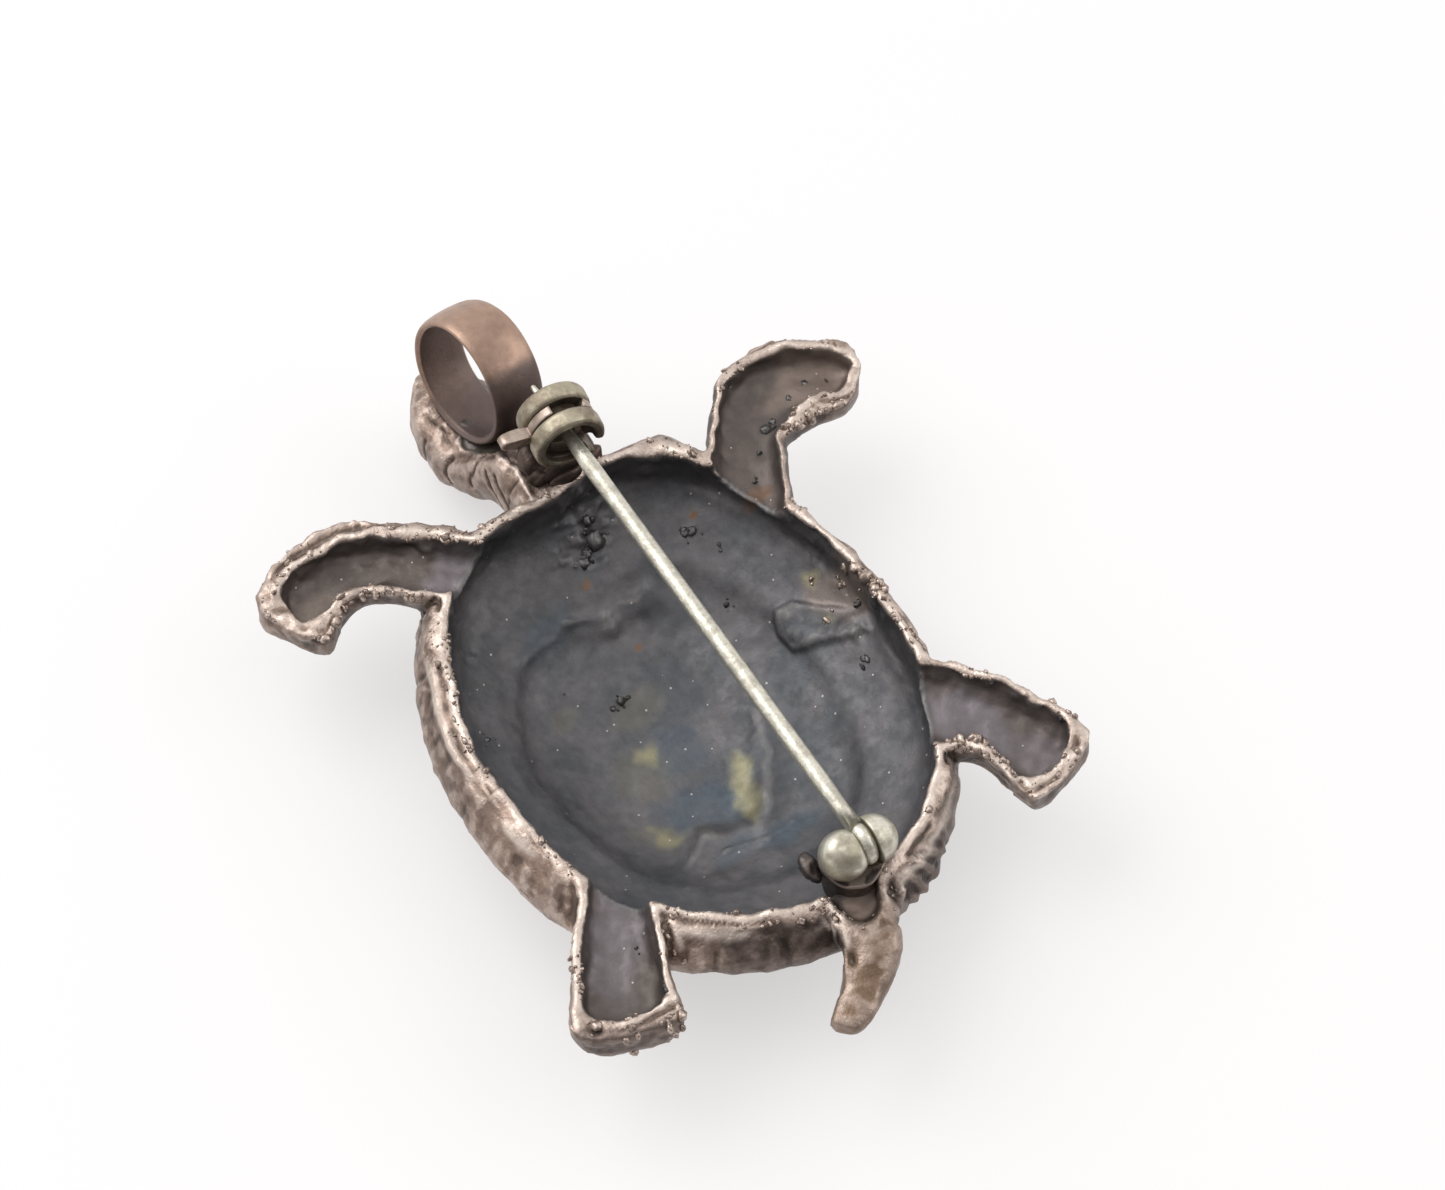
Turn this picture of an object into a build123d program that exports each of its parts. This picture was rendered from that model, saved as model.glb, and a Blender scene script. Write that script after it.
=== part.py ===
from build123d import *

import math
import os

# A turtle brooch that is also a pendant, lying on its carapace with the pin side up.
# X is the turtle's width, +Y points to its head, +Z is away from the carapace.
# The origin is the middle of the flat worn on the crown, where the brooch rests.
# All sizes are in millimetres.

# Carapace
shell_half_width = 10.4
shell_half_length = 12.6
shell_depth = 6.8
rim_width = 0.62
groove_depth = 0.2
shell_sectors = 72
scutes_round_rim = 24

# Legs and tail
leg_depth = 1.9
leg_wall = 0.5
leg_floor = 0.7
leg_root = 1.1
leg_set_down = 0.06
tail_depth = 1.9

# Head
head_length = 11.6
head_half_width = 2.35
head_depth = 3.3
head_drop = 2.4

# Bail
bail_radius = 3.35
bail_thickness = 0.5
bail_width = 2.85
bail_turn = 7.0
bail_tilt = 9.0
bail_x = 0.64
bail_beyond_shell = 7.15
bail_sink = 0.42

# Pin stem, from its rivet to its point
pin_radius = 0.4
pin_beyond_catch = 2.55
pin_lift = 0.5
pin_taper = 5.0
pin_tip_radius = 0.14
pin_clearance = 0.05

# Joint of the pin
joint_x = 1.92
joint_inside_shell = 1.3
joint_rise = 1.3
cheek_radius = 1.14
left_cheek_spread = 1.02
right_cheek_spread = 0.48
eye_thickness = 0.6
eye_radius = 0.9
eye_side_gap = 0.08
rivet_radius = 0.31
rivet_length = 2.2
rivet_gap = 0.02
seat_radius = 1.6
seat_foot_radius = 1.25
seat_rise = 0.28
seat_depth = 2.8
seat_shift_x = -0.4
seat_shift_y = 0.25

# Catch
catch_x = 1.72
catch_beyond_shell = 1.4
catch_rise = 2.42
catch_turn = 6.0
flange_radius = 1.76
flange_round = 0.28
flange_recess_radius = 1.22
flange_recess = 0.4
flange_thickness = 0.95
groove_width = 0.6
core_radius = 1.12
catch_bore = 0.85
mouth_width = 0.92
mouth_angle = -30.0
catch_foot_width = 3.1
catch_foot_shift = -0.15
catch_foot_drop = 3.0
roller_gap = 0.05
roller_radius = 1.66
roller_opening_angle = 66.0
roller_opening_middle = 73.0
lever_length = 3.1
lever_thickness = 0.62
lever_angle = 172.0

# Outline of the rim: how far it reaches at each angle, as a share of the two half sizes
rim_reach = {
    0: 1.01,
    30: 1.045,
    60: 1.12,
    90: 1.016,
    120: 1.07,
    150: 1.025,
    180: 0.995,
    210: 1.0,
    240: 0.98,
    270: 0.99,
    300: 1.04,
    330: 1.035,
}

# Section of the carapace outside: (share of the outline, share of the depth, and how far
# the section lies to the right and to the head, as shares of the two half sizes)
outer_section = [
    (1.0, 0.0, 0.0, 0.0),
    (1.04, 0.1, -0.025, -0.02),
    (1.065, 0.22, -0.045, -0.03),
    (1.065, 0.32, -0.045, -0.03),
    (1.02, 0.42, -0.04, -0.01),
    (0.93, 0.52, -0.03, 0.02),
    (0.82, 0.63, -0.015, 0.05),
    (0.69, 0.74, 0.0, 0.08),
    (0.54, 0.85, 0.0, 0.1),
    (0.4, 0.94, 0.0, 0.11),
    (0.3, 1.0, 0.0, 0.11),
]
marginal_rows = (1, 2, 3)
costal_rows = (6, 7, 8)
costal_angles = (20, 65, 115, 160, 200, 250, 290, 340)

# Section of the hollow: (share of the rim's inner edge, share of the depth)
hollow_section = [
    (1.0, -0.2),
    (1.0, 0.0),
    (0.99, 0.25),
    (0.955, 0.36),
    (0.88, 0.45),
    (0.8, 0.52),
    (0.735, 0.57),
    (0.69, 0.63),
    (0.63, 0.69),
    (0.48, 0.78),
    (0.28, 0.83),
    (0.12, 0.845),
]

# Legs: a row for each section from root to toes, as shares of the two half sizes of the
# shell (leading edge x, y, trailing edge x, y) and the drop as a share of the leg's depth
leg_sections = {
    "left_flipper": [
        (-0.413, 1.016, -0.606, 0.778, 0.0),
        (-0.577, 1.143, -0.74, 0.857, 0.0),
        (-0.808, 1.278, -0.865, 0.952, 0.05),
        (-1.058, 1.302, -0.971, 0.984, 0.1),
        (-1.279, 1.23, -1.077, 0.944, 0.15),
        (-1.385, 1.111, -1.202, 0.873, 0.2),
    ],
    "right_flipper": [
        (0.75, 0.881, 0.933, 0.532, 0.0),
        (0.865, 1.008, 1.0, 0.651, 0.0),
        (1.019, 1.127, 1.077, 0.762, 0.05),
        (1.269, 1.151, 1.25, 0.778, 0.1),
        (1.5, 1.071, 1.413, 0.77, 0.15),
        (1.625, 0.976, 1.548, 0.841, 0.2),
    ],
    "left_back_leg": [
        (-0.856, -0.413, -0.635, -0.627, 0.0),
        (-1.0, -0.579, -0.692, -0.738, 0.0),
        (-1.144, -0.754, -0.76, -0.889, 0.05),
        (-1.26, -0.897, -0.817, -1.024, 0.1),
        (-1.24, -1.0, -0.885, -1.103, 0.15),
    ],
    "right_back_leg": [
        (0.962, -0.341, 0.798, -0.683, 0.0),
        (1.115, -0.476, 0.875, -0.722, 0.0),
        (1.25, -0.627, 0.923, -0.81, 0.05),
        (1.356, -0.81, 0.942, -0.921, 0.1),
        (1.337, -0.937, 0.99, -1.024, 0.15),
    ],
}

# Dip in the root of the tail, with the same columns as a leg
tail_dip = [
    (0.2, -0.94, -0.02, -0.93, 0.0),
    (0.17, -1.06, 0.0, -1.06, -0.15),
    (0.11, -1.16, 0.0, -1.16, -0.5),
]

# Section of a leg and of its channel: (share of the half width, share of the depth)
leg_outer_section = [
    (1.0, 0.0),
    (1.05, 0.35),
    (0.95, 0.75),
    (0.6, 1.0),
    (-0.6, 1.0),
    (-0.95, 0.75),
    (-1.05, 0.35),
    (-1.0, 0.0),
]
channel_section = [
    (1.0, -0.4),
    (1.0, 0.3),
    (0.85, 0.75),
    (0.5, 1.0),
    (-0.5, 1.0),
    (-0.85, 0.75),
    (-1.0, 0.3),
    (-1.0, -0.4),
]

# Tail: (x share, y share of the shell's half sizes, half width and depth as shares of the
# tail's depth, drop as a share of it)
tail_sections = [
    (0.09, -0.93, 0.82, 1.0, 0.05),
    (0.067, -1.06, 0.8, 1.0, 0.08),
    (0.015, -1.18, 0.78, 0.95, 0.16),
    (-0.07, -1.27, 0.74, 0.85, 0.3),
    (-0.165, -1.34, 0.66, 0.74, 0.42),
    (-0.25, -1.385, 0.56, 0.62, 0.52),
    (-0.295, -1.41, 0.42, 0.45, 0.6),
]

# Head: along the neck and head from inside the rim (share of its length, middle x as a
# share of its half width, half width share, drop share, depth share)
head_sections = [
    (0.0, 0.3, 0.85, 0.02, 1.2),
    (0.16, 0.25, 0.83, 0.03, 1.2),
    (0.32, 0.2, 0.86, 0.1, 1.2),
    (0.42, 0.08, 0.9, 0.5, 1.15),
    (0.52, -0.04, 0.96, 0.92, 1.0),
    (0.62, -0.12, 1.0, 1.0, 1.0),
    (0.75, -0.13, 0.97, 1.02, 0.97),
    (0.86, -0.14, 0.8, 1.06, 0.86),
    (0.95, -0.15, 0.5, 1.14, 0.66),
    (1.0, -0.16, 0.24, 1.26, 0.4),
]
head_start = 0.93

# Section of the head and tail: (share of the half width, share of the depth)
round_section = [
    (0.0, 0.0),
    (0.45, 0.01),
    (0.78, 0.07),
    (0.96, 0.24),
    (1.0, 0.48),
    (0.9, 0.74),
    (0.6, 0.94),
    (0.0, 1.0),
    (-0.6, 0.94),
    (-0.9, 0.74),
    (-1.0, 0.48),
    (-0.96, 0.24),
    (-0.78, 0.07),
    (-0.45, 0.01),
]

rim_z = shell_depth
head_back_z = rim_z - head_drop
joint_y = joint_inside_shell - shell_half_length
catch_y = shell_half_length + catch_beyond_shell
bail_y = shell_half_length + bail_beyond_shell
pin_length = catch_y - joint_y + pin_beyond_catch


def reach(angle):
    """Reach of the rim at an angle in degrees, on a smooth curve through the table."""
    rows = len(rim_reach)
    step = 360 / rows
    row = int(angle // step) % rows
    part = angle / step - angle // step
    before, start, end, after = (rim_reach[int(((row + n) % rows) * step)] for n in (-1, 0, 1, 2))
    rise_in = (end - before) / 2
    rise_out = (after - start) / 2
    cubic = 2 * (start - end) + rise_in + rise_out
    square = 3 * (end - start) - 2 * rise_in - rise_out
    return ((cubic * part + square) * part + rise_in) * part + start


def oval_point(angle, share, inset, depth_share):
    """Point of the shell at an angle, a share of the outline less an inset, and a depth."""
    across = math.cos(math.radians(angle))
    along = math.sin(math.radians(angle))
    far = reach(angle)
    x = (shell_half_width * far - inset) * share * across
    y = (shell_half_length * far - inset) * share * along
    return Vector(x, y, rim_z - shell_depth * depth_share)


def skinned(rings):
    """Closed solid of flat triangles through rings of points, with a fan at each end."""
    count = len(rings[0])
    faces = []
    for near, far in zip(rings, rings[1:]):
        for i in range(count):
            j = (i + 1) % count
            faces.append(Face(Wire.make_polygon([near[i], near[j], far[j]])))
            faces.append(Face(Wire.make_polygon([near[i], far[j], far[i]])))
    for ring in (rings[0], rings[-1]):
        middle = sum(ring, Vector(0, 0, 0)) * (1 / count)
        for i in range(count):
            faces.append(Face(Wire.make_polygon([ring[i], ring[(i + 1) % count], middle])))
    return Solid(Shell(faces))


def shell_body():
    """The carapace, solid, with the grooves between its scutes."""
    step = 360 / shell_sectors
    every = shell_sectors // scutes_round_rim
    groove_share = groove_depth / shell_half_width
    rings = []
    for row, (share, depth_share, right, forward) in enumerate(outer_section):
        shift = Vector(right * shell_half_width, forward * shell_half_length, 0)
        ring = []
        for sector in range(shell_sectors):
            angle = sector * step
            grooved = row in marginal_rows and sector % every == 0
            for costal in costal_angles:
                if row in costal_rows and abs(angle - costal) < step / 2 + 0.01:
                    grooved = True
            cut = groove_share if grooved else 0
            ring.append(oval_point(angle, share - cut, 0, depth_share) + shift)
        rings.append(ring)
    return skinned(rings)


def hollow_body():
    """The hollow behind the carapace, with the dish in its floor."""
    step = 360 / shell_sectors
    rings = []
    for share, depth_share in hollow_section:
        rings.append([oval_point(n * step, share, rim_width, depth_share) for n in range(shell_sectors)])
    return skinned(rings)


def leg_stations(rows):
    """Middle, half width vector and drop of each section of a leg."""
    stations = []
    for lead_x, lead_y, trail_x, trail_y, drop_share in rows:
        lead = Vector(lead_x * shell_half_width, lead_y * shell_half_length, 0)
        trail = Vector(trail_x * shell_half_width, trail_y * shell_half_length, 0)
        stations.append(((lead + trail) * 0.5, (lead - trail) * 0.5, drop_share * leg_depth))
    return stations


def leg_ring(middle, half, top_z, depth, section):
    """Ring of points of one section of a leg or of its channel."""
    return [middle + half * share + Vector(0, 0, top_z - depth * down) for share, down in section]


def leg_body(rows):
    """A leg, solid, from inside the rim to its toes."""
    stations = leg_stations(rows)
    first, second = stations[0][0], stations[1][0]
    inward = (first - second).normalized() * leg_root
    stations.insert(0, (first + inward, stations[0][1], stations[0][2]))
    rings = []
    for middle, half, drop in stations:
        top_z = rim_z - leg_set_down - drop
        rings.append(leg_ring(middle, half, top_z, leg_depth, leg_outer_section))
    return skinned(rings)


def channel_body(rows):
    """The hollow back of a leg, which opens into the hollow of the carapace."""
    stations = leg_stations(rows)
    first, second = stations[0][0], stations[1][0]
    inward = (first - second).normalized() * (leg_root + 2 * rim_width)
    stations.insert(0, (first + inward, stations[0][1], stations[0][2]))
    last, before = stations[-1][0], stations[-2][0]
    back = (before - last).normalized() * leg_wall
    stations[-1] = (last + back, stations[-1][1], stations[-1][2])
    rings = []
    for middle, half, drop in stations:
        narrower = half * ((half.length - leg_wall) / half.length)
        top_z = rim_z - leg_set_down - drop
        rings.append(leg_ring(middle, narrower, top_z, leg_depth - leg_floor, channel_section))
    return skinned(rings)


def tail_body():
    """The tail, a solid horn that curves to one side."""
    rings = []
    for x, y, width, depth, drop in tail_sections:
        middle = Vector(x * shell_half_width, y * shell_half_length, rim_z - drop * tail_depth)
        ring = []
        for share, down in round_section:
            ring.append(middle + Vector(share * width * tail_depth, 0, -down * depth * tail_depth))
        rings.append(ring)
    return skinned(rings)


def head_body():
    """The neck and head, solid, with a flat back that lies lower than the rim."""
    start_y = head_start * shell_half_length
    rings = []
    for along, middle_x, width, drop, depth in head_sections:
        middle = Vector(
            middle_x * head_half_width,
            start_y + along * head_length,
            rim_z - drop * head_drop,
        )
        ring = []
        for share, down in round_section:
            ring.append(middle + Vector(share * width * head_half_width, 0, -down * depth * head_depth))
        rings.append(ring)
    return skinned(rings)


# Frames of the bail, the joint and the catch
bail_angle = math.radians(bail_turn)
bail_centre = Vector(bail_x, bail_y, head_back_z + bail_radius - bail_sink)
bail_lean = math.radians(bail_tilt)
bail_level = math.cos(bail_lean)
bail_axis = Vector(bail_level * math.cos(bail_angle), bail_level * math.sin(bail_angle), -math.sin(bail_lean))
bail_plane = Plane(origin=bail_centre, x_dir=(0, 0, 1), z_dir=bail_axis)

joint_centre = Vector(joint_x, joint_y, rim_z + joint_rise)
joint_plane = Plane(origin=joint_centre, x_dir=(0, 1, 0), z_dir=(1, 0, 0))

catch_angle = math.radians(catch_turn)
catch_centre = Vector(catch_x, catch_y, rim_z + catch_rise)
catch_axis = Vector(-math.sin(catch_angle), -math.cos(catch_angle), 0)
catch_plane = Plane(
    origin=catch_centre,
    x_dir=(math.cos(catch_angle), -math.sin(catch_angle), 0),
    z_dir=catch_axis,
)
catch_length = groove_width + 2 * flange_thickness

# The stem runs from the rivet through the middle of the catch
stem_slope = (catch_rise - joint_rise - pin_lift) / (catch_y - joint_y)
stem_side = (catch_x - joint_x) / (catch_y - joint_y)
stem_direction = Vector(stem_side, 1, stem_slope).normalized()
stem_up = Vector(1, 0, 0).cross(stem_direction)
stem_start = joint_centre + Vector(0, 0, pin_lift)
stem_plane = Plane(origin=stem_start, x_dir=stem_direction, z_dir=stem_up)


# Bail: a ribbon ring
with BuildPart() as bail:
    with BuildSketch(bail_plane):
        Circle(bail_radius)
        Circle(bail_radius - bail_thickness, mode=Mode.SUBTRACT)
    extrude(amount=bail_width / 2, both=True)

# Joint: two ball cheeks on a round seat, drilled for the rivet
cheek_flat = eye_thickness / 2 + eye_side_gap
seat_centre = (joint_x + seat_shift_x, joint_y + seat_shift_y)
with BuildPart() as joint_seat:
    with BuildSketch(Plane.XY.offset(rim_z + seat_rise)):
        with Locations(seat_centre):
            Circle(seat_radius)
    with BuildSketch(Plane.XY.offset(rim_z - seat_depth)):
        with Locations(seat_centre):
            Circle(seat_foot_radius)
    loft()

with BuildPart() as cheeks:
    for spread in (-left_cheek_spread, right_cheek_spread):
        with Locations(joint_centre + Vector(spread, 0, 0)):
            Sphere(cheek_radius)
            Cylinder(
                cheek_radius / 2,
                joint_rise,
                align=(Align.CENTER, Align.CENTER, Align.MAX),
            )
    with Locations(joint_centre):
        Box(2 * cheek_flat, 4 * cheek_radius, 4 * cheek_radius, mode=Mode.SUBTRACT)
    with BuildSketch(joint_plane):
        Circle(rivet_radius + rivet_gap)
    extrude(amount=rivet_length / 2 + rivet_gap, both=True, mode=Mode.SUBTRACT)

# Catch housing: two flanges on a split core, with a foot and a mouth at one side
mouth_reach = 2 * flange_radius
mouth_middle = (
    mouth_reach / 2 * math.cos(math.radians(mouth_angle)),
    mouth_reach / 2 * math.sin(math.radians(mouth_angle)),
)
with BuildPart() as catch_housing:
    with BuildSketch(catch_plane):
        Circle(flange_radius)
    extrude(amount=catch_length / 2, both=True)
    fillet(catch_housing.edges().filter_by(GeomType.CIRCLE), flange_round)
    with BuildSketch(catch_plane):
        with Locations((catch_foot_shift, -catch_foot_drop / 2)):
            Rectangle(catch_foot_width, catch_foot_drop)
    extrude(amount=catch_length / 2 - flange_round, both=True)
    with BuildSketch(catch_plane):
        Circle(2 * lever_length)
        Circle(core_radius, mode=Mode.SUBTRACT)
        with Locations((catch_foot_shift, -roller_radius - roller_gap - catch_foot_drop)):
            Rectangle(catch_foot_width, 2 * catch_foot_drop, mode=Mode.SUBTRACT)
    extrude(amount=groove_width / 2, both=True, mode=Mode.SUBTRACT)
    with BuildSketch(catch_plane.offset(catch_length / 2)):
        Circle(flange_recess_radius)
    extrude(amount=-flange_recess, mode=Mode.SUBTRACT)
    with BuildSketch(catch_plane):
        Circle(catch_bore)
        with Locations(mouth_middle):
            Rectangle(mouth_reach, mouth_width, rotation=mouth_angle)
    extrude(amount=catch_length, both=True, mode=Mode.SUBTRACT)

# Casting: carapace, legs, tail and head, hollowed, with what is soldered to it
with BuildPart() as turtle_casting:
    legs = [leg_body(rows) for rows in leg_sections.values()]
    add([shell_body(), tail_body(), head_body(), *legs])
    channels = [channel_body(rows) for rows in (*leg_sections.values(), tail_dip)]
    add([hollow_body(), *channels], mode=Mode.SUBTRACT)
    add([joint_seat.part, cheeks.part, catch_housing.part, bail.part])

# Rivet through the two cheeks
with BuildPart() as joint_rivet:
    with BuildSketch(joint_plane):
        Circle(rivet_radius)
    extrude(amount=rivet_length / 2, both=True)

# Pin stem: a round wire with a long point and a flattened eye
flat_length = cheek_radius + 2 * eye_side_gap
straight_end = pin_length - pin_taper
with BuildPart() as pin_stem:
    with BuildSketch(stem_plane):
        with BuildLine():
            Polyline(
                (eye_radius / 2, 0),
                (eye_radius / 2, pin_radius),
                (straight_end, pin_radius),
                (pin_length - pin_tip_radius, pin_tip_radius),
                (pin_length, 0),
                close=True,
            )
        make_face()
    revolve(axis=Axis(stem_start, stem_direction))
    with BuildSketch(stem_plane):
        for side in (-1, 1):
            with Locations((0, side * (eye_thickness / 2 + pin_radius))):
                Rectangle(2 * flat_length, 2 * pin_radius)
    extrude(amount=2 * pin_radius, both=True, mode=Mode.SUBTRACT)
    with BuildSketch(joint_plane):
        Circle(eye_radius)
    extrude(amount=eye_thickness / 2, both=True)
    with BuildSketch(joint_plane):
        Circle(rivet_radius + pin_clearance)
    extrude(amount=eye_thickness, both=True, mode=Mode.SUBTRACT)

# Roller: a split sleeve with a lever, which turns on the core of the catch
roller_bore = core_radius + roller_gap
roller_width = groove_width - 2 * roller_gap
lever_radians = math.radians(lever_angle)
lever_middle = (roller_bore + lever_length) / 2
lever_place = (lever_middle * math.cos(lever_radians), lever_middle * math.sin(lever_radians))
opening_start = roller_opening_middle - roller_opening_angle / 2
with BuildPart() as catch_roller:
    with BuildSketch(catch_plane):
        Circle(roller_radius)
        with Locations(lever_place):
            SlotOverall(lever_length - roller_bore, lever_thickness, rotation=lever_angle)
        Circle(roller_bore, mode=Mode.SUBTRACT)
        with BuildLine():
            opening = CenterArc((0, 0), 2 * roller_radius, opening_start, roller_opening_angle)
            Line((0, 0), opening @ 0)
            Line((0, 0), opening @ 1)
        make_face(mode=Mode.SUBTRACT)
    extrude(amount=roller_width / 2, both=True)

pieces = {
    "turtle_casting": turtle_casting,
    "joint_rivet": joint_rivet,
    "pin_stem": pin_stem,
    "catch_roller": catch_roller,
}
os.makedirs("parts", exist_ok=True)
for name, piece in pieces.items():
    piece.part.label = name
    export_step(piece.part, f"parts/{name}.step")
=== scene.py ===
import math
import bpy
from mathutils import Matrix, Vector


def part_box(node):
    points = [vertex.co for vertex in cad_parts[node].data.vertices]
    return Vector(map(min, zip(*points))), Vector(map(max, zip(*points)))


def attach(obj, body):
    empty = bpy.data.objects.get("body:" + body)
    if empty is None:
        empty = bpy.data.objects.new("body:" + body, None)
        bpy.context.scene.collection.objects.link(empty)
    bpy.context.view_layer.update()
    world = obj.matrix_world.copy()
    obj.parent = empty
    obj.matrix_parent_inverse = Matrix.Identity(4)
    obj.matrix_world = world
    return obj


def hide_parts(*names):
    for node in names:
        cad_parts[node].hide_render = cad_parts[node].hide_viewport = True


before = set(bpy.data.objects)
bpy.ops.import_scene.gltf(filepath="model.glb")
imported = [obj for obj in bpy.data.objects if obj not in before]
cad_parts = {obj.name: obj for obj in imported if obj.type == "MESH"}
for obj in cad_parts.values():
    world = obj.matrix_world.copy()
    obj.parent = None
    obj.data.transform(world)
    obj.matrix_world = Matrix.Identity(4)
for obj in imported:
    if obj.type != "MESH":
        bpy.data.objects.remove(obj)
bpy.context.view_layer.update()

from types import SimpleNamespace

import bpy
import numpy as np
from mathutils import Vector

bl_info = {
    "name": "Turtle brooch",
    "version": (1, 0, 0),
    "blender": (4, 5, 0),
    "location": "View3D > Sidebar > Turtle brooch",
    "description": "Builds a cast turtle brooch with its bail, hinged pin stem and rolling catch",
    "category": "Add Mesh",
}

# The casting's tables hold shares of its half width, half length and depth, where no mm are named

# Reach of the rim every 30 degrees, from +X towards the head, as a share of the half sizes
RIM_REACH = (1.01, 1.045, 1.12, 1.016, 1.07, 1.025, 0.995, 1.0, 0.98, 0.99, 1.04, 1.035)

# Outside of the carapace: share of the outline, share of the depth, shift right, shift to the head
OUTER_SECTION = (
    (1.0, 0.0, 0.0, 0.0),
    (1.04, 0.1, -0.025, -0.02),
    (1.065, 0.22, -0.045, -0.03),
    (1.065, 0.32, -0.045, -0.03),
    (1.02, 0.42, -0.04, -0.01),
    (0.93, 0.52, -0.03, 0.02),
    (0.82, 0.63, -0.015, 0.05),
    (0.69, 0.74, 0.0, 0.08),
    (0.54, 0.85, 0.0, 0.1),
    (0.4, 0.94, 0.0, 0.11),
    (0.3, 1.0, 0.0, 0.11),
)

# Hollow behind it: share of the rim's inner edge, share of the depth
HOLLOW_SECTION = (
    (1.0, -0.2),
    (1.0, 0.0),
    (0.99, 0.25),
    (0.955, 0.36),
    (0.88, 0.45),
    (0.8, 0.52),
    (0.735, 0.57),
    (0.69, 0.63),
    (0.63, 0.69),
    (0.48, 0.78),
    (0.28, 0.83),
    (0.12, 0.845),
)

# Legs: leading edge x, y, trailing edge x, y of each section, and its drop
LEG_SECTIONS = {
    "left_flipper": (
        (-0.413, 1.016, -0.606, 0.778, 0.0),
        (-0.577, 1.143, -0.74, 0.857, 0.0),
        (-0.808, 1.278, -0.865, 0.952, 0.05),
        (-1.058, 1.302, -0.971, 0.984, 0.1),
        (-1.279, 1.23, -1.077, 0.944, 0.15),
        (-1.385, 1.111, -1.202, 0.873, 0.2),
    ),
    "right_flipper": (
        (0.75, 0.881, 0.933, 0.532, 0.0),
        (0.865, 1.008, 1.0, 0.651, 0.0),
        (1.019, 1.127, 1.077, 0.762, 0.05),
        (1.269, 1.151, 1.25, 0.778, 0.1),
        (1.5, 1.071, 1.413, 0.77, 0.15),
        (1.625, 0.976, 1.548, 0.841, 0.2),
    ),
    "left_back_leg": (
        (-0.856, -0.413, -0.635, -0.627, 0.0),
        (-1.0, -0.579, -0.692, -0.738, 0.0),
        (-1.144, -0.754, -0.76, -0.889, 0.05),
        (-1.26, -0.897, -0.817, -1.024, 0.1),
        (-1.24, -1.0, -0.885, -1.103, 0.15),
    ),
    "right_back_leg": (
        (0.962, -0.341, 0.798, -0.683, 0.0),
        (1.115, -0.476, 0.875, -0.722, 0.0),
        (1.25, -0.627, 0.923, -0.81, 0.05),
        (1.356, -0.81, 0.942, -0.921, 0.1),
        (1.337, -0.937, 0.99, -1.024, 0.15),
    ),
}

# Thickness of a leg's leading and trailing wall at each section in mm, where its usual wall is 0.5 mm
TABLE_WALL = 0.5
LEG_WALLS = {
    "left_flipper": ((0.75, 0.45), (0.8, 0.45), (1.0, 0.5), (1.15, 0.55), (0.95, 0.8), (0.6, 0.75)),
    "right_flipper": ((0.45, 0.4), (0.4, 0.35), (0.5, 0.45), (0.75, 0.85), (0.7, 0.75), (0.45, 0.5)),
    "left_back_leg": ((0.45, 0.4), (0.4, 0.4), (0.45, 0.35), (0.5, 0.3), (0.55, 0.45)),
    "right_back_leg": ((0.4, 0.45), (0.4, 0.5), (0.35, 0.45), (0.4, 0.4), (0.45, 0.4)),
}
# Thickness of a leg's wall at its toe in mm
TOE_WALL = {"left_flipper": 0.75, "right_flipper": 0.4, "left_back_leg": 0.95, "right_back_leg": 0.75}

# Dip in the root of the tail, with a leg's columns
TAIL_DIP = (
    (0.225, -0.94, -0.045, -0.93, 0.0),
    (0.18, -1.06, -0.03, -1.06, 0.0),
    (0.11, -1.17, -0.01, -1.16, -0.4),
)
DIP_WALLS = ((0.15, 0.15), (0.25, 0.25), (0.3, 0.3))

# Section of a leg and of its channel: share of the half width, share of the depth
LEG_OUTSIDE = (
    (1.0, 0.0), (1.05, 0.35), (0.95, 0.75), (0.6, 1.0),
    (-0.6, 1.0), (-0.95, 0.75), (-1.05, 0.35), (-1.0, 0.0),
)
LEG_CHANNEL = (
    (1.0, -0.4), (1.0, 0.3), (0.85, 0.75), (0.5, 1.0),
    (-0.5, 1.0), (-0.85, 0.75), (-1.0, 0.3), (-1.0, -0.4),
)
# In mm: how far a leg starts inside its first section, how far its top lies under the rim, and how
# round its toe and the end of its channel are
LEG_ROOT = 1.1
LEG_SINK = 0.06
TOE_ROUND = 0.35
CHANNEL_ROUND = 1.3
# Direction in the plan from the middle to the toe of the left back leg
TOE_DIRECTION = (-0.44, -0.897, 0.0)

# Tail: x, y, half width, depth, drop, turn of the section in degrees
TAIL_SECTIONS = (
    (0.09, -0.93, 0.82, 1.0, 0.05, 0.0),
    (0.067, -1.06, 0.8, 1.0, 0.08, 0.0),
    (0.015, -1.18, 0.72, 0.95, 0.16, 12.0),
    (-0.07, -1.265, 0.6, 0.85, 0.3, 30.0),
    (-0.165, -1.325, 0.5, 0.74, 0.42, 38.0),
    (-0.24, -1.36, 0.42, 0.62, 0.52, 42.0),
    (-0.27, -1.374, 0.33, 0.48, 0.57, 45.0),
    (-0.279, -1.379, 0.2, 0.3, 0.6, 45.0),
)
# Raised ridge down the left of the tail's dip, with a painted highlight: x, y of its ends in mm, half width,
# strength
TAIL_RIDGE_HIGHLIGHT = (
    (-0.36, -12.1, -0.76, -13.3, 0.16, 0.9),
    (-0.76, -13.3, -0.75, -14.3, 0.16, 0.9),
)

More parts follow.
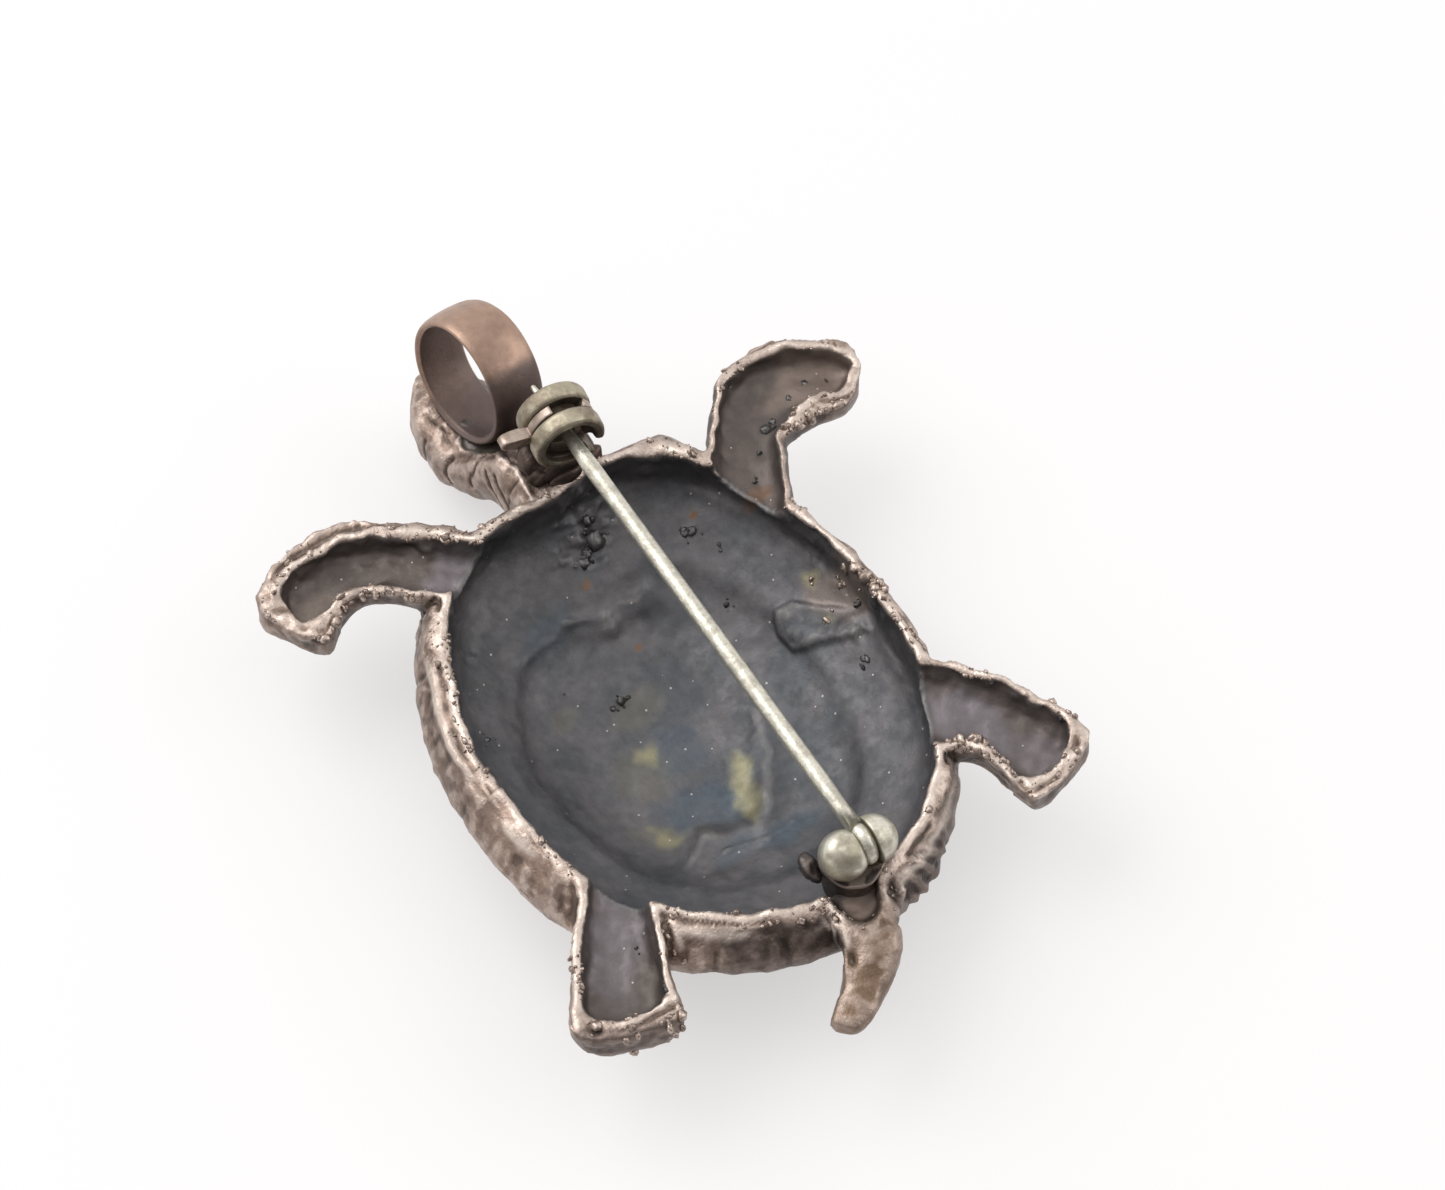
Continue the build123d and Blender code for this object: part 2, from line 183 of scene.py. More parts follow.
# Head: where its neck starts, and share along it, middle x, half width, drop, depth
HEAD_START = 0.93
HEAD_SECTIONS = (
    (0.0, 0.3, 0.85, 0.02, 1.2),
    (0.16, 0.25, 0.83, 0.03, 1.2),
    (0.32, 0.2, 0.86, 0.1, 1.2),
    (0.42, 0.08, 0.9, 0.5, 1.15),
    (0.52, -0.04, 0.96, 0.92, 1.0),
    (0.62, -0.12, 1.0, 1.0, 1.0),
    (0.75, -0.13, 0.97, 1.02, 0.97),
    (0.86, -0.14, 0.8, 1.06, 0.86),
    (0.95, -0.15, 0.5, 1.14, 0.66),
    (1.0, -0.16, 0.24, 1.26, 0.4),
)
ROUND_SECTION = (
    (0.0, 0.0),
    (0.45, 0.01),
    (0.78, 0.07),
    (0.96, 0.24),
    (1.0, 0.48),
    (0.9, 0.74),
    (0.6, 0.94),
    (0.0, 1.0),
    (-0.6, 0.94),
    (-0.9, 0.74),
    (-1.0, 0.48),
    (-0.96, 0.24),
    (-0.78, 0.07),
    (-0.45, 0.01),
)

# Relief of the floor of the hollow: x, y of its ends in mm, half width, height
FLOOR_FOLDS = (
    (0.0, 7.6, 2.8, 8.0, 0.5, 0.16),
    (2.8, 8.4, 0.1, 8.15, 0.24, 0.1),
    (0.1, 8.15, -1.7, 8.3, 0.24, 0.09),
    (-1.7, 8.3, -4.0, 7.6, 0.24, 0.06),
    (-2.4, 7.6, 0.0, 7.6, 0.8, 0.1),
    (3.3, -0.4, 1.9, -3.7, 0.8, 0.2),
    (1.9, -3.7, 0.6, -5.3, 0.7, 0.18),
    (-0.3, -4.9, -1.8, -4.1, 0.55, 0.16),
    (-1.8, -4.1, -3.4, -4.9, 0.55, 0.12),
    (-3.6, -5.6, -1.0, -6.6, 0.7, -0.14),
    (-2.6, -6.8, 0.4, -6.9, 0.6, 0.1),
    (5.6, -3.2, 4.2, -6.1, 1.1, -0.14),
    (-2.9, -5.9, -1.2, -5.6, 0.2, 0.07),
    (-1.2, -5.6, 0.4, -6.1, 0.2, 0.08),
    (0.4, -6.1, 2.2, -5.4, 0.22, 0.07),
    (-4.4, -6.6, -2.6, -7.3, 0.25, 0.06),
    (6.0, 0.6, 6.2, -2.4, 1.1, 0.14),
)
# Outlines on the floor, x and y of their corners in mm
DISH_OUTLINE = (
    (-6.0, 6.1), (-4.8, 7.2), (-2.4, 7.7), (0.2, 7.6), (2.6, 7.9), (3.5, 4.8), (3.3, 1.9), (3.2, -0.6),
    (1.3, -4.1), (-0.4, -4.8), (-1.7, -4.0), (-3.4, -4.8), (-5.4, -4.7), (-6.5, -1.7), (-7.2, 1.3),
    (-7.1, 3.7),
)
PATCH_OUTLINE = ((6.9, 3.5), (7.7, 3.3), (9.7, 0.7), (9.5, -0.4), (7.6, 0.8), (6.6, 1.5), (6.5, 2.6))
PALE_OUTLINES = (
    ((1.85, -0.9), (2.0, -1.9), (1.3, -4.1), (0.5, -5.1), (0.25, -4.3), (0.8, -2.4)),
    ((-3.4, -2.5), (-2.5, -3.5), (-3.1, -3.8), (-3.7, -3.3)),
    ((-2.0, 1.9), (-1.1, 1.2), (-1.5, 0.6), (-2.25, 1.2)),
    ((8.7, 3.8), (9.05, 3.3), (8.7, 3.2)),
    ((7.9, 1.2), (8.6, 1.5), (8.7, 1.25)),
)

# Stains by their colour: x, y, half length, half width in mm, turn in degrees, strength
FAINT_STAINS = (
    (-0.8, 3.4, 1.8, 1.0, 10, 0.5),
    (-4.0, 4.4, 1.0, 0.6, 30, 0.6),
    (-2.4, 0.4, 1.6, 1.6, 0, 0.5),
    (-3.6, -2.6, 1.4, 0.6, -30, 0.5),
    (-2.0, -3.4, 0.9, 0.4, 0, 0.5),
)
BLUE_STAINS = (
    (-0.9, -2.6, 2.6, 1.5, -20, 0.6),
    (-0.4, 0.6, 1.6, 1.6, 0, 0.5),
    (1.5, -6.0, 1.9, 0.8, 10, 0.55),
    (-1.0, -5.6, 1.6, 0.7, 25, 0.5),
    (-3.0, 8.0, 2.2, 0.8, 25, 0.3),
)
COPPER_STAINS = (
    (6.1, 9.5, 0.28, 0.2, 0, 1.0),
    (0.9, 6.0, 0.18, 0.15, 0, 1.0),
    (0.1, 9.3, 0.28, 0.18, 30, 0.8),
    (8.6, 8.0, 0.8, 0.5, 0, 0.5),
)
# Warm brown tone; at the right flipper's tip it also lightens the channel, a painted light against its shade
WARM_STAINS = (
    (14.2, -12.8, 1.8, 1.5, 0, 1.0),
    (16.6, 12.6, 0.9, 1.6, 0, 0.8),
    (14.6, 12.2, 3.2, 1.6, 0, 0.65),
    (9.4, 1.9, 2.0, 0.9, -60, 0.6),
    (0.9, -13.1, 1.3, 1.5, 0, 0.9),
    (-12.6, 13.0, 2.6, 1.0, 20, 0.3),
)
# Violet-grey tone of the channels; the rows at the right back leg also paint a lighter sheen on its ripples
VIOLET_STAINS = (
    (-5.9, 11.4, 2.6, 1.2, 40, 0.75),
    (10.2, -7.6, 2.8, 1.5, -63, 1.0),
    (11.9, -10.4, 1.5, 1.1, -63, 0.6),
    (-9.2, -8.6, 3.0, 1.6, 55, 0.85),
)
# Rough places of the hollow and ridged ones of the flank, with the stains' columns
PITTED = (
    (1.2, 11.2, 2.3, 1.3, 20, 1.0),
    (-6.6, 8.2, 0.8, 0.5, 0, 0.5),
    (9.3, 0.2, 1.2, 0.8, -40, 1.0),
    (10.0, 3.6, 1.2, 0.6, -60, 1.0),
)
RIDGED = ((4.5, -12.7, 1.9, 1.1, 12, 1.0),)

# Cracks and folds on the side of the head: y, height over the floor of both ends, half width, height
HEAD_FOLDS = (
    (18.3, 5.4, 18.1, 4.2, 0.1, -0.4),
    (18.1, 4.2, 17.6, 2.8, 0.1, -0.45),
    (16.6, 5.6, 16.3, 4.0, 0.09, -0.35),
    (15.6, 5.8, 14.2, 3.8, 0.1, -0.4),
    (15.0, 6.1, 13.2, 4.6, 0.1, -0.3),
    (19.9, 3.8, 19.4, 1.6, 0.1, -0.3),
    (21.9, 3.2, 22.4, 2.0, 0.1, -0.3),
    (19.0, 4.4, 18.6, 2.4, 0.4, 0.16),
    (20.9, 4.2, 20.4, 1.8, 0.6, 0.2),
    (17.2, 4.4, 16.6, 3.0, 0.4, 0.16),
)
# Left edge of the head's back: y and x in mm
HEAD_SPINE = ((15.9, 17.3, 18.6, 19.8, 22.8), (-0.6, -1.2, -1.3, -0.2, 0.8))


class TurtleSizes(bpy.types.PropertyGroup):
    """Sizes of the casting and of the fittings soldered to it."""

    half_width: bpy.props.FloatProperty(
        name="Half width", description="Half width of the carapace at its rim", default=0.0104, unit="LENGTH"
    )
    half_length: bpy.props.FloatProperty(
        name="Half length",
        description="Half length of the carapace at its rim",
        default=0.0126,
        unit="LENGTH",
    )
    depth: bpy.props.FloatProperty(
        name="Depth", description="Height of the rim over the worn crown", default=0.0068, unit="LENGTH"
    )
    rim_width: bpy.props.FloatProperty(
        name="Rim width", description="Thickness of the carapace at its rim", default=0.00062, unit="LENGTH"
    )
    leg_depth: bpy.props.FloatProperty(
        name="Leg depth", description="Thickness of a leg", default=0.0019, unit="LENGTH"
    )
    leg_wall: bpy.props.FloatProperty(
        name="Leg wall", description="Thickness of a leg's sides", default=0.0005, unit="LENGTH"
    )
    leg_floor: bpy.props.FloatProperty(
        name="Leg floor", description="Thickness of a leg under its channel", default=0.0007, unit="LENGTH"
    )
    head_length: bpy.props.FloatProperty(
        name="Head length",
        description="Length of neck and head from inside the rim",
        default=0.0116,
        unit="LENGTH",
    )
    head_half_width: bpy.props.FloatProperty(
        name="Head half width", description="Half width of the head", default=0.00235, unit="LENGTH"
    )
    head_depth: bpy.props.FloatProperty(
        name="Head depth", description="Thickness of the head", default=0.0033, unit="LENGTH"
    )
    head_drop: bpy.props.FloatProperty(
        name="Head drop",
        description="How far the back of the head lies under the rim",
        default=0.0024,
        unit="LENGTH",
    )
    tail_depth: bpy.props.FloatProperty(
        name="Tail depth", description="Thickness of the tail at its root", default=0.0019, unit="LENGTH"
    )
    grain: bpy.props.FloatProperty(
        name="Casting grain",
        description="Edge length of the casting's faces",
        default=0.000162,
        unit="LENGTH",
    )
    roughness: bpy.props.FloatProperty(
        name="Casting roughness", description="Strength of the raised cast texture", default=1.0, min=0.0
    )
    bail_radius: bpy.props.FloatProperty(
        name="Bail radius", description="Outer radius of the bail", default=0.00335, unit="LENGTH"
    )
    bail_width: bpy.props.FloatProperty(
        name="Bail width", description="Width of the bail's ribbon", default=0.00285, unit="LENGTH"
    )
    wire_radius: bpy.props.FloatProperty(
        name="Wire radius", description="Radius of the pin stem", default=0.0004, unit="LENGTH"
    )
    ball_radius: bpy.props.FloatProperty(
        name="Ball radius", description="Radius of the joint's two balls", default=0.00114, unit="LENGTH"
    )
    disc_radius: bpy.props.FloatProperty(
        name="Disc radius", description="Radius of the catch's two discs", default=0.00176, unit="LENGTH"
    )


class TurtleFinish(bpy.types.PropertyGroup):
    """Colours of the finishes and of the floor."""

    hollow: bpy.props.FloatVectorProperty(
        name="Hollow",
        description="Tarnish in the hollow",
        default=(0.134, 0.129, 0.133),
        size=3,
        subtype="COLOR",
    )
    rim: bpy.props.FloatVectorProperty(
        name="Rim", description="Worn rims", default=(0.5, 0.41, 0.355), size=3, subtype="COLOR"
    )
    outside: bpy.props.FloatVectorProperty(
        name="Outside", description="Toned outside", default=(0.265, 0.19, 0.15), size=3, subtype="COLOR"
    )
    bail: bpy.props.FloatVectorProperty(
        name="Bail", description="Rubbed bail", default=(0.36, 0.245, 0.185), size=3, subtype="COLOR"
    )
    wire: bpy.props.FloatVectorProperty(
        name="Wire", description="Drawn wire", default=(0.62, 0.6, 0.51), size=3, subtype="COLOR"
    )
    catch: bpy.props.FloatVectorProperty(
        name="Catch", description="Dulled catch", default=(0.38, 0.34, 0.255), size=3, subtype="COLOR"
    )
    floor: bpy.props.FloatVectorProperty(
        name="Floor", description="Pale floor", default=(0.32, 0.313, 0.314), size=3, subtype="COLOR"
    )


# Numpy helpers, all lengths in mm


def fade(x):
    """Smooth step from 0 to 1 while x goes from 0 to 1."""
    x = np.clip(x, 0.0, 1.0)
    return x * x * (3 - 2 * x)


def between(x, low, high):
    """Smooth step from 0 at low to 1 at high."""
    return fade((x - low) / (high - low))


# Factors and shifts of the whole-number hash
HASH_CELL = (374761393, 668265263, 2246822519)
HASH_SEED = 144665
HASH_MIX = ((15, 2654435761), (13, 3266489917))
HASH_LAST = 16


def bell(x, middle, half):
    """Bell curve from 0 to 1: e to the minus the square of the distance from a middle over a half width."""
    return np.exp(-(((x - middle) / half) ** 2))


def hashed(ix, iy, iz, seed):
    """Repeatable number from 0 to 1 for each whole-number cell."""
    h = np.full(ix.shape, seed * HASH_SEED % 2**32, dtype=np.uint32)
    for index, factor in zip((ix, iy, iz), HASH_CELL):
        h += index.astype(np.uint32) * np.uint32(factor)
    for shift, factor in HASH_MIX:
        h ^= h >> np.uint32(shift)
        h *= np.uint32(factor)
    h ^= h >> np.uint32(HASH_LAST)
    return h.astype(np.float64) / (2**32 - 1)


# Cells are counted from here, so that no cell has a negative number
CELL_START = 511.0


def noise(p, size, seed):
    """Value noise from -1 to 1: hashed corner values of cells of a size, blended by smooth steps."""
    q = p / size + CELL_START
    cell = np.floor(q).astype(np.int64)
    f = q - cell
    f = f * f * (3 - 2 * f)
    total = 0.0
    for dx in (0, 1):
        wx = f[:, 0] if dx else 1 - f[:, 0]
        for dy in (0, 1):
            wy = f[:, 1] if dy else 1 - f[:, 1]
            for dz in (0, 1):
                wz = f[:, 2] if dz else 1 - f[:, 2]
                total = total + wx * wy * wz * hashed(cell[:, 0] + dx, cell[:, 1] + dy, cell[:, 2] + dz, seed)
    return total * 2 - 1


def layered(p, size, seed, layers=4, keep=0.5):
    """Noise of a size plus halves of it, each layer keeping a share of the one before."""
    total = np.zeros(len(p))
    weight = 1.0
    whole = 0.0
    for layer in range(layers):
        total += weight * noise(p, size / 2**layer, seed + 17 * layer)
        whole += weight
        weight *= keep
    return total / whole


def grains(p, size, seed, share=1.0):
    """Height from 0 to 1 of round grains.

    A share of the cells has one hashed centre each, and a dome stands over the nearest.
    """
    far = 9.0
    q = p / size + CELL_START
    cell = np.floor(q).astype(np.int64)
    best = np.full(len(p), far)
    for dx in (-1, 0, 1):
        for dy in (-1, 0, 1):
            for dz in (-1, 0, 1):
                cx, cy, cz = cell[:, 0] + dx, cell[:, 1] + dy, cell[:, 2] + dz
                square = 0.0
                for n, corner in enumerate((cx, cy, cz)):
                    centre = corner + 0.2 + 0.6 * hashed(cx, cy, cz, seed + n)
                    square = square + (q[:, n] - centre) ** 2
                d = np.where(hashed(cx, cy, cz, seed + 3) < share, np.sqrt(square), far)
                best = np.minimum(best, d)
    return fade(1 - best / 0.5)


def cubic(a, b, c, d, f):
    """Value at a share f of the span from b to c, whose slopes there are half the steps a to c and b to d."""
    m0, m1 = (c - a) / 2, (d - b) / 2
    return ((2 * (b - c) + m0 + m1) * f + 3 * (c - b) - 2 * m0 - m1) * f * f + m0 * f + b


def curve_through(rows, count, closed=False):
    """Smooth line of cubics through the rows of a table."""
    rows = np.asarray(rows, float)
    n = len(rows)
    spans = n if closed else n - 1
    t = np.linspace(0, spans, count, endpoint=not closed)
    i = np.minimum(t.astype(int), spans - 1)
    f = (t - i)[:, None]
    if closed:
        a, b, c, d = rows[(i - 1) % n], rows[i % n], rows[(i + 1) % n], rows[(i + 2) % n]
    else:
        a, b, c, d = rows[np.maximum(i - 1, 0)], rows[i], rows[i + 1], rows[np.minimum(i + 2, n - 1)]
    return cubic(a, b, c, d, f)


def reach(angle):
    """Reach of the rim at angles in radians: the periodic cubic through RIM_REACH."""
    table = np.array(RIM_REACH)
    n = len(table)
    t = np.degrees(angle) % 360 / (360 / n)
    i = np.floor(t).astype(int) % n
    f = t - np.floor(t)
    return cubic(table[(i - 1) % n], table[i], table[(i + 1) % n], table[(i + 2) % n], f)


def grid_faces(rows, columns, closed_rows=False):
    """Quads of a grid whose columns close into rings."""
    i = np.arange(rows if closed_rows else rows - 1)[:, None]
    j = np.arange(columns)[None, :]
    up = (i + 1) % rows
    right = (j + 1) % columns
    quads = np.stack([i * columns + j, i * columns + right, up * columns + right, up * columns + j], axis=-1)
    return quads.reshape(-1, 4)


def tube(points, closed_rows=False):
    """Vertices and faces of rings of points (rows, columns, 3), each end closed by a fan to its middle."""
    rows, columns = points.shape[:2]
    vertices = points.reshape(-1, 3)
    quads = grid_faces(rows, columns, closed_rows)
    if closed_rows:
        return vertices, [quads]
    j = np.arange(columns)
    k = (j + 1) % columns
    start, end = len(vertices), len(vertices) + 1
    vertices = np.vstack([vertices, points[0].mean(axis=0), points[-1].mean(axis=0)])
    last = (rows - 1) * columns
    near = np.stack([np.full(columns, start), k, j], axis=-1)
    far = np.stack([np.full(columns, end), last + j, last + k], axis=-1)
    return vertices, [quads, near, far]


def outward(vertices, face_sets):
    """The same faces, turned over if the solid that they close has a negative volume."""
    volume = 0.0
    for faces in face_sets:
        a = vertices[faces[:, 0]]
        for n in range(1, faces.shape[1] - 1):
            volume += np.einsum("ij,ij->", a, np.cross(vertices[faces[:, n]], vertices[faces[:, n + 1]]))
    return face_sets if volume > 0 else [faces[:, ::-1] for faces in face_sets]


def solid(name, parts):
    """Mesh object in metres of one or more closed tubes in mm."""
    vertices, face_lists, start = [], [], 0
    for part_vertices, part_faces in parts:
        for faces in outward(part_vertices, part_faces):
            face_lists.append(faces + start)
        vertices.append(part_vertices)
        start += len(part_vertices)
    mesh = bpy.data.meshes.new(name)
    points = np.vstack(vertices) / 1000
    loops = np.concatenate([faces.ravel() for faces in face_lists])
    sizes = np.concatenate([np.full(len(faces), faces.shape[1]) for faces in face_lists])
    starts = np.concatenate([[0], np.cumsum(sizes)[:-1]])
    mesh.vertices.add(len(points))
    mesh.vertices.foreach_set("co", points.ravel())
    mesh.loops.add(len(loops))
    mesh.loops.foreach_set("vertex_index", loops.astype(np.int32))
    mesh.polygons.add(len(sizes))
    mesh.polygons.foreach_set("loop_start", starts.astype(np.int32))
    mesh.update(calc_edges=True)
    mesh.validate()
    mesh.polygons.foreach_set("use_smooth", np.ones(len(mesh.polygons), dtype=bool))
    piece = bpy.data.objects.new(name, mesh)
    bpy.context.scene.collection.objects.link(piece)
    return piece


def settled(piece):
    """The piece with its modifiers applied."""
    graph = bpy.context.evaluated_depsgraph_get()
    mesh = bpy.data.meshes.new_from_object(piece.evaluated_get(graph))
    piece.modifiers.clear()
    piece.data = mesh
    return piece


def combined(piece, others, operation):
    """The piece joined with or cut by other closed pieces, which are then gone."""
    for other in others:
        cut = piece.modifiers.new(operation.lower(), "BOOLEAN")
        cut.operation = operation
        cut.solver = "MANIFOLD"
        cut.object = other
    settled(piece)
    for other in others:
        bpy.data.objects.remove(other)
    return piece


def remeshed(piece, size):
    """The piece as one even skin of small quads, so that overlapping forms flow together."""
    grain = piece.modifiers.new("grain", "REMESH")
    grain.mode = "VOXEL"
    grain.voxel_size = size
    grain.use_smooth_shade = True
    return settled(piece)


def points_of(piece):
    """Vertices of a piece in mm."""
    flat = np.empty(len(piece.data.vertices) * 3)
    piece.data.vertices.foreach_get("co", flat)
    return flat.reshape(-1, 3) * 1000


def move_points(piece, points):
    """Puts vertices in mm back into a piece."""
    piece.data.vertices.foreach_set("co", (points / 1000).ravel())
    piece.data.update()


def edges_of(piece):
    """Vertex pairs of a piece's edges."""
    flat = np.empty(len(piece.data.edges) * 2, dtype=np.int32)
    piece.data.edges.foreach_get("vertices", flat)
    return flat.reshape(-1, 2)


def neighbour_mean(values, edges, count):
    """Mean of each vertex's neighbours along its edges."""
    shape = (count,) + values.shape[1:]
    total = np.zeros(shape)
    np.add.at(total, edges[:, 0], values[edges[:, 1]])
    np.add.at(total, edges[:, 1], values[edges[:, 0]])
    number = np.bincount(edges.ravel(), minlength=count).astype(float)
    number = np.maximum(number, 1)
    return total / (number[:, None] if values.ndim > 1 else number)


def relaxed(points, edges, passes, strength=0.5):
    """Points moved to their neighbours' mean and back a little more, which rounds steps without shrinking."""
    for _ in range(passes):
        points = points + strength * (neighbour_mean(points, edges, len(points)) - points)
        points = points - (strength + 0.03) * (neighbour_mean(points, edges, len(points)) - points)
    return points


def normals_of(piece, points):
    """Unit normal at each vertex: the sum of its triangles' cross products."""
    piece.data.calc_loop_triangles()
    flat = np.empty(len(piece.data.loop_triangles) * 3, dtype=np.int32)
    piece.data.loop_triangles.foreach_get("vertices", flat)
    tri = flat.reshape(-1, 3)
    cross = np.cross(points[tri[:, 1]] - points[tri[:, 0]], points[tri[:, 2]] - points[tri[:, 0]])
    total = np.zeros_like(points)
    for n in range(3):
        np.add.at(total, tri[:, n], cross)
    return total / np.maximum(np.linalg.norm(total, axis=1), 1e-12)[:, None]


def store(piece, name, values):
    """A number for each vertex that a material reads by name."""
    layer = piece.data.attributes.new(name, "FLOAT", "POINT")
    layer.data.foreach_set("value", np.clip(values, 0, 1).astype(np.float32))


def keep_inside(piece, *nodes):
    """Vertices held within the box of the CAD nodes that the piece stands for."""
    boxes = [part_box(node) for node in nodes]
    low = np.min([np.array(box[0]) for box in boxes], axis=0) * 1000
    high = np.max([np.array(box[1]) for box in boxes], axis=0) * 1000
    move_points(piece, np.clip(points_of(piece), low, high))


def sizes_in_mm():
    """The size settings in mm."""
    settings = bpy.context.scene.turtle_sizes
    names = [name for name in TurtleSizes.__annotations__ if name != "roughness"]
    found = {name: getattr(settings, name) * 1000 for name in names}
    found["roughness"] = settings.roughness
    return found


# Forms of the casting


def oval_rings(rows, s, inset, turns):
    """Rings of the carapace.

    At angle a and outline share q the point is ((half width * reach(a) - inset) q cos a,
    (half length * reach(a) - inset) q sin a), at a share of the depth.
    """
    angle = np.linspace(0, 2 * np.pi, turns, endpoint=False)[None, :]
    far = reach(angle)
    share, down = rows[:, 0:1], rows[:, 1:2]
    right = rows[:, 2:3] * s["half_width"] if rows.shape[1] > 2 else 0.0
    ahead = rows[:, 3:4] * s["half_length"] if rows.shape[1] > 2 else 0.0
    x = (s["half_width"] * far - inset) * share * np.cos(angle) + right
    y = (s["half_length"] * far - inset) * share * np.sin(angle) + ahead
    z = np.broadcast_to(s["depth"] * (1 - down), x.shape)
    return np.stack([x, y, z], axis=-1)


def leg_path(rows, s, count, root, walls=None, end=0.0):
    """Middles, half width vectors and drops along a leg, on smooth curves through its table.

    Where walls are given, they are taken off at both sides, and an end is taken off at the toe.
    """
    rows = np.asarray(rows, float)
    lead = np.stack([rows[:, 0] * s["half_width"], rows[:, 1] * s["half_length"]], axis=1)
    trail = np.stack([rows[:, 2] * s["half_width"], rows[:, 3] * s["half_length"]], axis=1)
    if walls:
        walls = np.asarray(walls, float) * s["leg_wall"] / TABLE_WALL
        across = (lead - trail) / np.linalg.norm(lead - trail, axis=1, keepdims=True)
        lead = lead - across * walls[:, 0:1]
        trail = trail + across * walls[:, 1:2]
    middle, half, drop = (lead + trail) / 2, (lead - trail) / 2, rows[:, 4:5] * s["leg_depth"]
    inward = middle[0] - middle[1]
    inward = inward / np.linalg.norm(inward) * root
    middle = np.vstack([middle[0] + inward, middle])
    half = np.vstack([half[0], half])
    drop = np.vstack([drop[0], drop])
    if end:
        back = middle[-2] - middle[-1]
        middle[-1] += back / np.linalg.norm(back) * end
    table = curve_through(np.hstack([middle, half, drop]), count)
    return table[:, 0:2], table[:, 2:4], table[:, 4]


def leg_rings(path, s, section, depth, rounding=0.0, around=40):
    """Rings of a leg or channel: middle + share * half width vector, at the top less a share of the depth.

    Over a rounding length at the toe the width and the depth follow a quarter of an ellipse.
    """
    middle, half, drop = path
    run = np.concatenate([[0], np.cumsum(np.linalg.norm(np.diff(middle, axis=0), axis=1))])
    left = (run[-1] - run) / max(rounding, 1e-6)
    narrow = np.sqrt(np.clip(1 - np.clip(1 - left, 0, 0.97) ** 2, 0, 1))[:, None]
    half = half * narrow
    depth = depth * (0.45 + 0.55 * narrow)
    outline = curve_linear(section, around)
    x = middle[:, None, 0] + half[:, None, 0] * outline[None, :, 0]
    y = middle[:, None, 1] + half[:, None, 1] * outline[None, :, 0]
    z = s["depth"] - LEG_SINK - drop[:, None] - depth * outline[None, :, 1]
    return np.stack([x, y, z + 0 * x], axis=-1)


def curve_linear(section, count):
    """Points evenly spread along the closed line through a section's rows."""
    rows = np.asarray(section, float)
    rows = np.vstack([rows, rows[:1]])
    length = np.concatenate([[0], np.cumsum(np.linalg.norm(np.diff(rows, axis=0), axis=1))])
    at = np.linspace(0, length[-1], count, endpoint=False)
    return np.stack([np.interp(at, length, rows[:, n]) for n in range(2)], axis=1)


def round_rings(middle, width, depth, turn=0.0, around=40):
    """Rings of the head or the tail.

    The round section is scaled by a half width and a depth under its middle, and turned in the plan.
    """
    outline = curve_through(ROUND_SECTION, around, closed=True)
    turn = np.radians(turn + 0 * width)[:, None]
    x = middle[:, None, 0] + outline[None, :, 0] * width[:, None] * np.cos(turn)
    y = middle[:, None, 1] - outline[None, :, 0] * width[:, None] * np.sin(turn)
    z = middle[:, None, 2] - outline[None, :, 1] * depth[:, None]
    return np.stack([x, y, z], axis=-1)


def head_rings(s):
    """Neck and head along +Y, whose back lies lower than the rim."""
    rows = curve_through(HEAD_SECTIONS, 60)
    x = rows[:, 1] * s["head_half_width"]
    y = HEAD_START * s["half_length"] + rows[:, 0] * s["head_length"]
    middle = np.stack([x, y, s["depth"] - rows[:, 3] * s["head_drop"]], axis=1)
    return round_rings(middle, rows[:, 2] * s["head_half_width"], rows[:, 4] * s["head_depth"])


def tail_rings(s):
    """The tail, a horn that curves to one side."""
    rows = curve_through(TAIL_SECTIONS, 40)
    x, y = rows[:, 0] * s["half_width"], rows[:, 1] * s["half_length"]
    middle = np.stack([x, y, s["depth"] - rows[:, 4] * s["tail_depth"]], axis=1)
    return round_rings(middle, rows[:, 2] * s["tail_depth"], rows[:, 3] * s["tail_depth"], rows[:, 5])


def hollow_depth_at(share):
    """Depth share of the hollow's surface at a share of its rim."""
    table = np.array(HOLLOW_SECTION)[1:]
    return np.interp(share, table[::-1, 0], table[::-1, 1])


def hollow_share_at(down):
    """Share of the rim's inner edge that the hollow's wall has at a depth share."""
    table = np.array(HOLLOW_SECTION)
    return np.interp(down, table[:, 1], table[:, 0], right=0.0)


def outline_share(points, s, inset):
    """Share of the outline, less an inset, at which each point lies, and its angle."""
    angle = np.arctan2(points[:, 1] / s["half_length"], points[:, 0] / s["half_width"])
    far = reach(angle)
    share = np.hypot(
        points[:, 0] / (s["half_width"] * far - inset), points[:, 1] / (s["half_length"] * far - inset)
    )
    return share, angle


def along_leg(points, path):
    """For each point the number of a leg's nearest station, the share of its half width, and the distance."""
    middle, half = path[:2]
    best = np.full(len(points), 1e9)
    row = np.zeros(len(points), dtype=int)
    for n in range(len(middle)):
        d = (points[:, 0] - middle[n, 0]) ** 2 + (points[:, 1] - middle[n, 1]) ** 2
        near = d < best
        best[near] = d[near]
        row[near] = n
    offset = points[:, :2] - middle[row]
    width2 = np.einsum("ij,ij->i", half[row], half[row])
    share = np.einsum("ij,ij->i", offset, half[row]) / width2
    return row, share, np.sqrt(best)


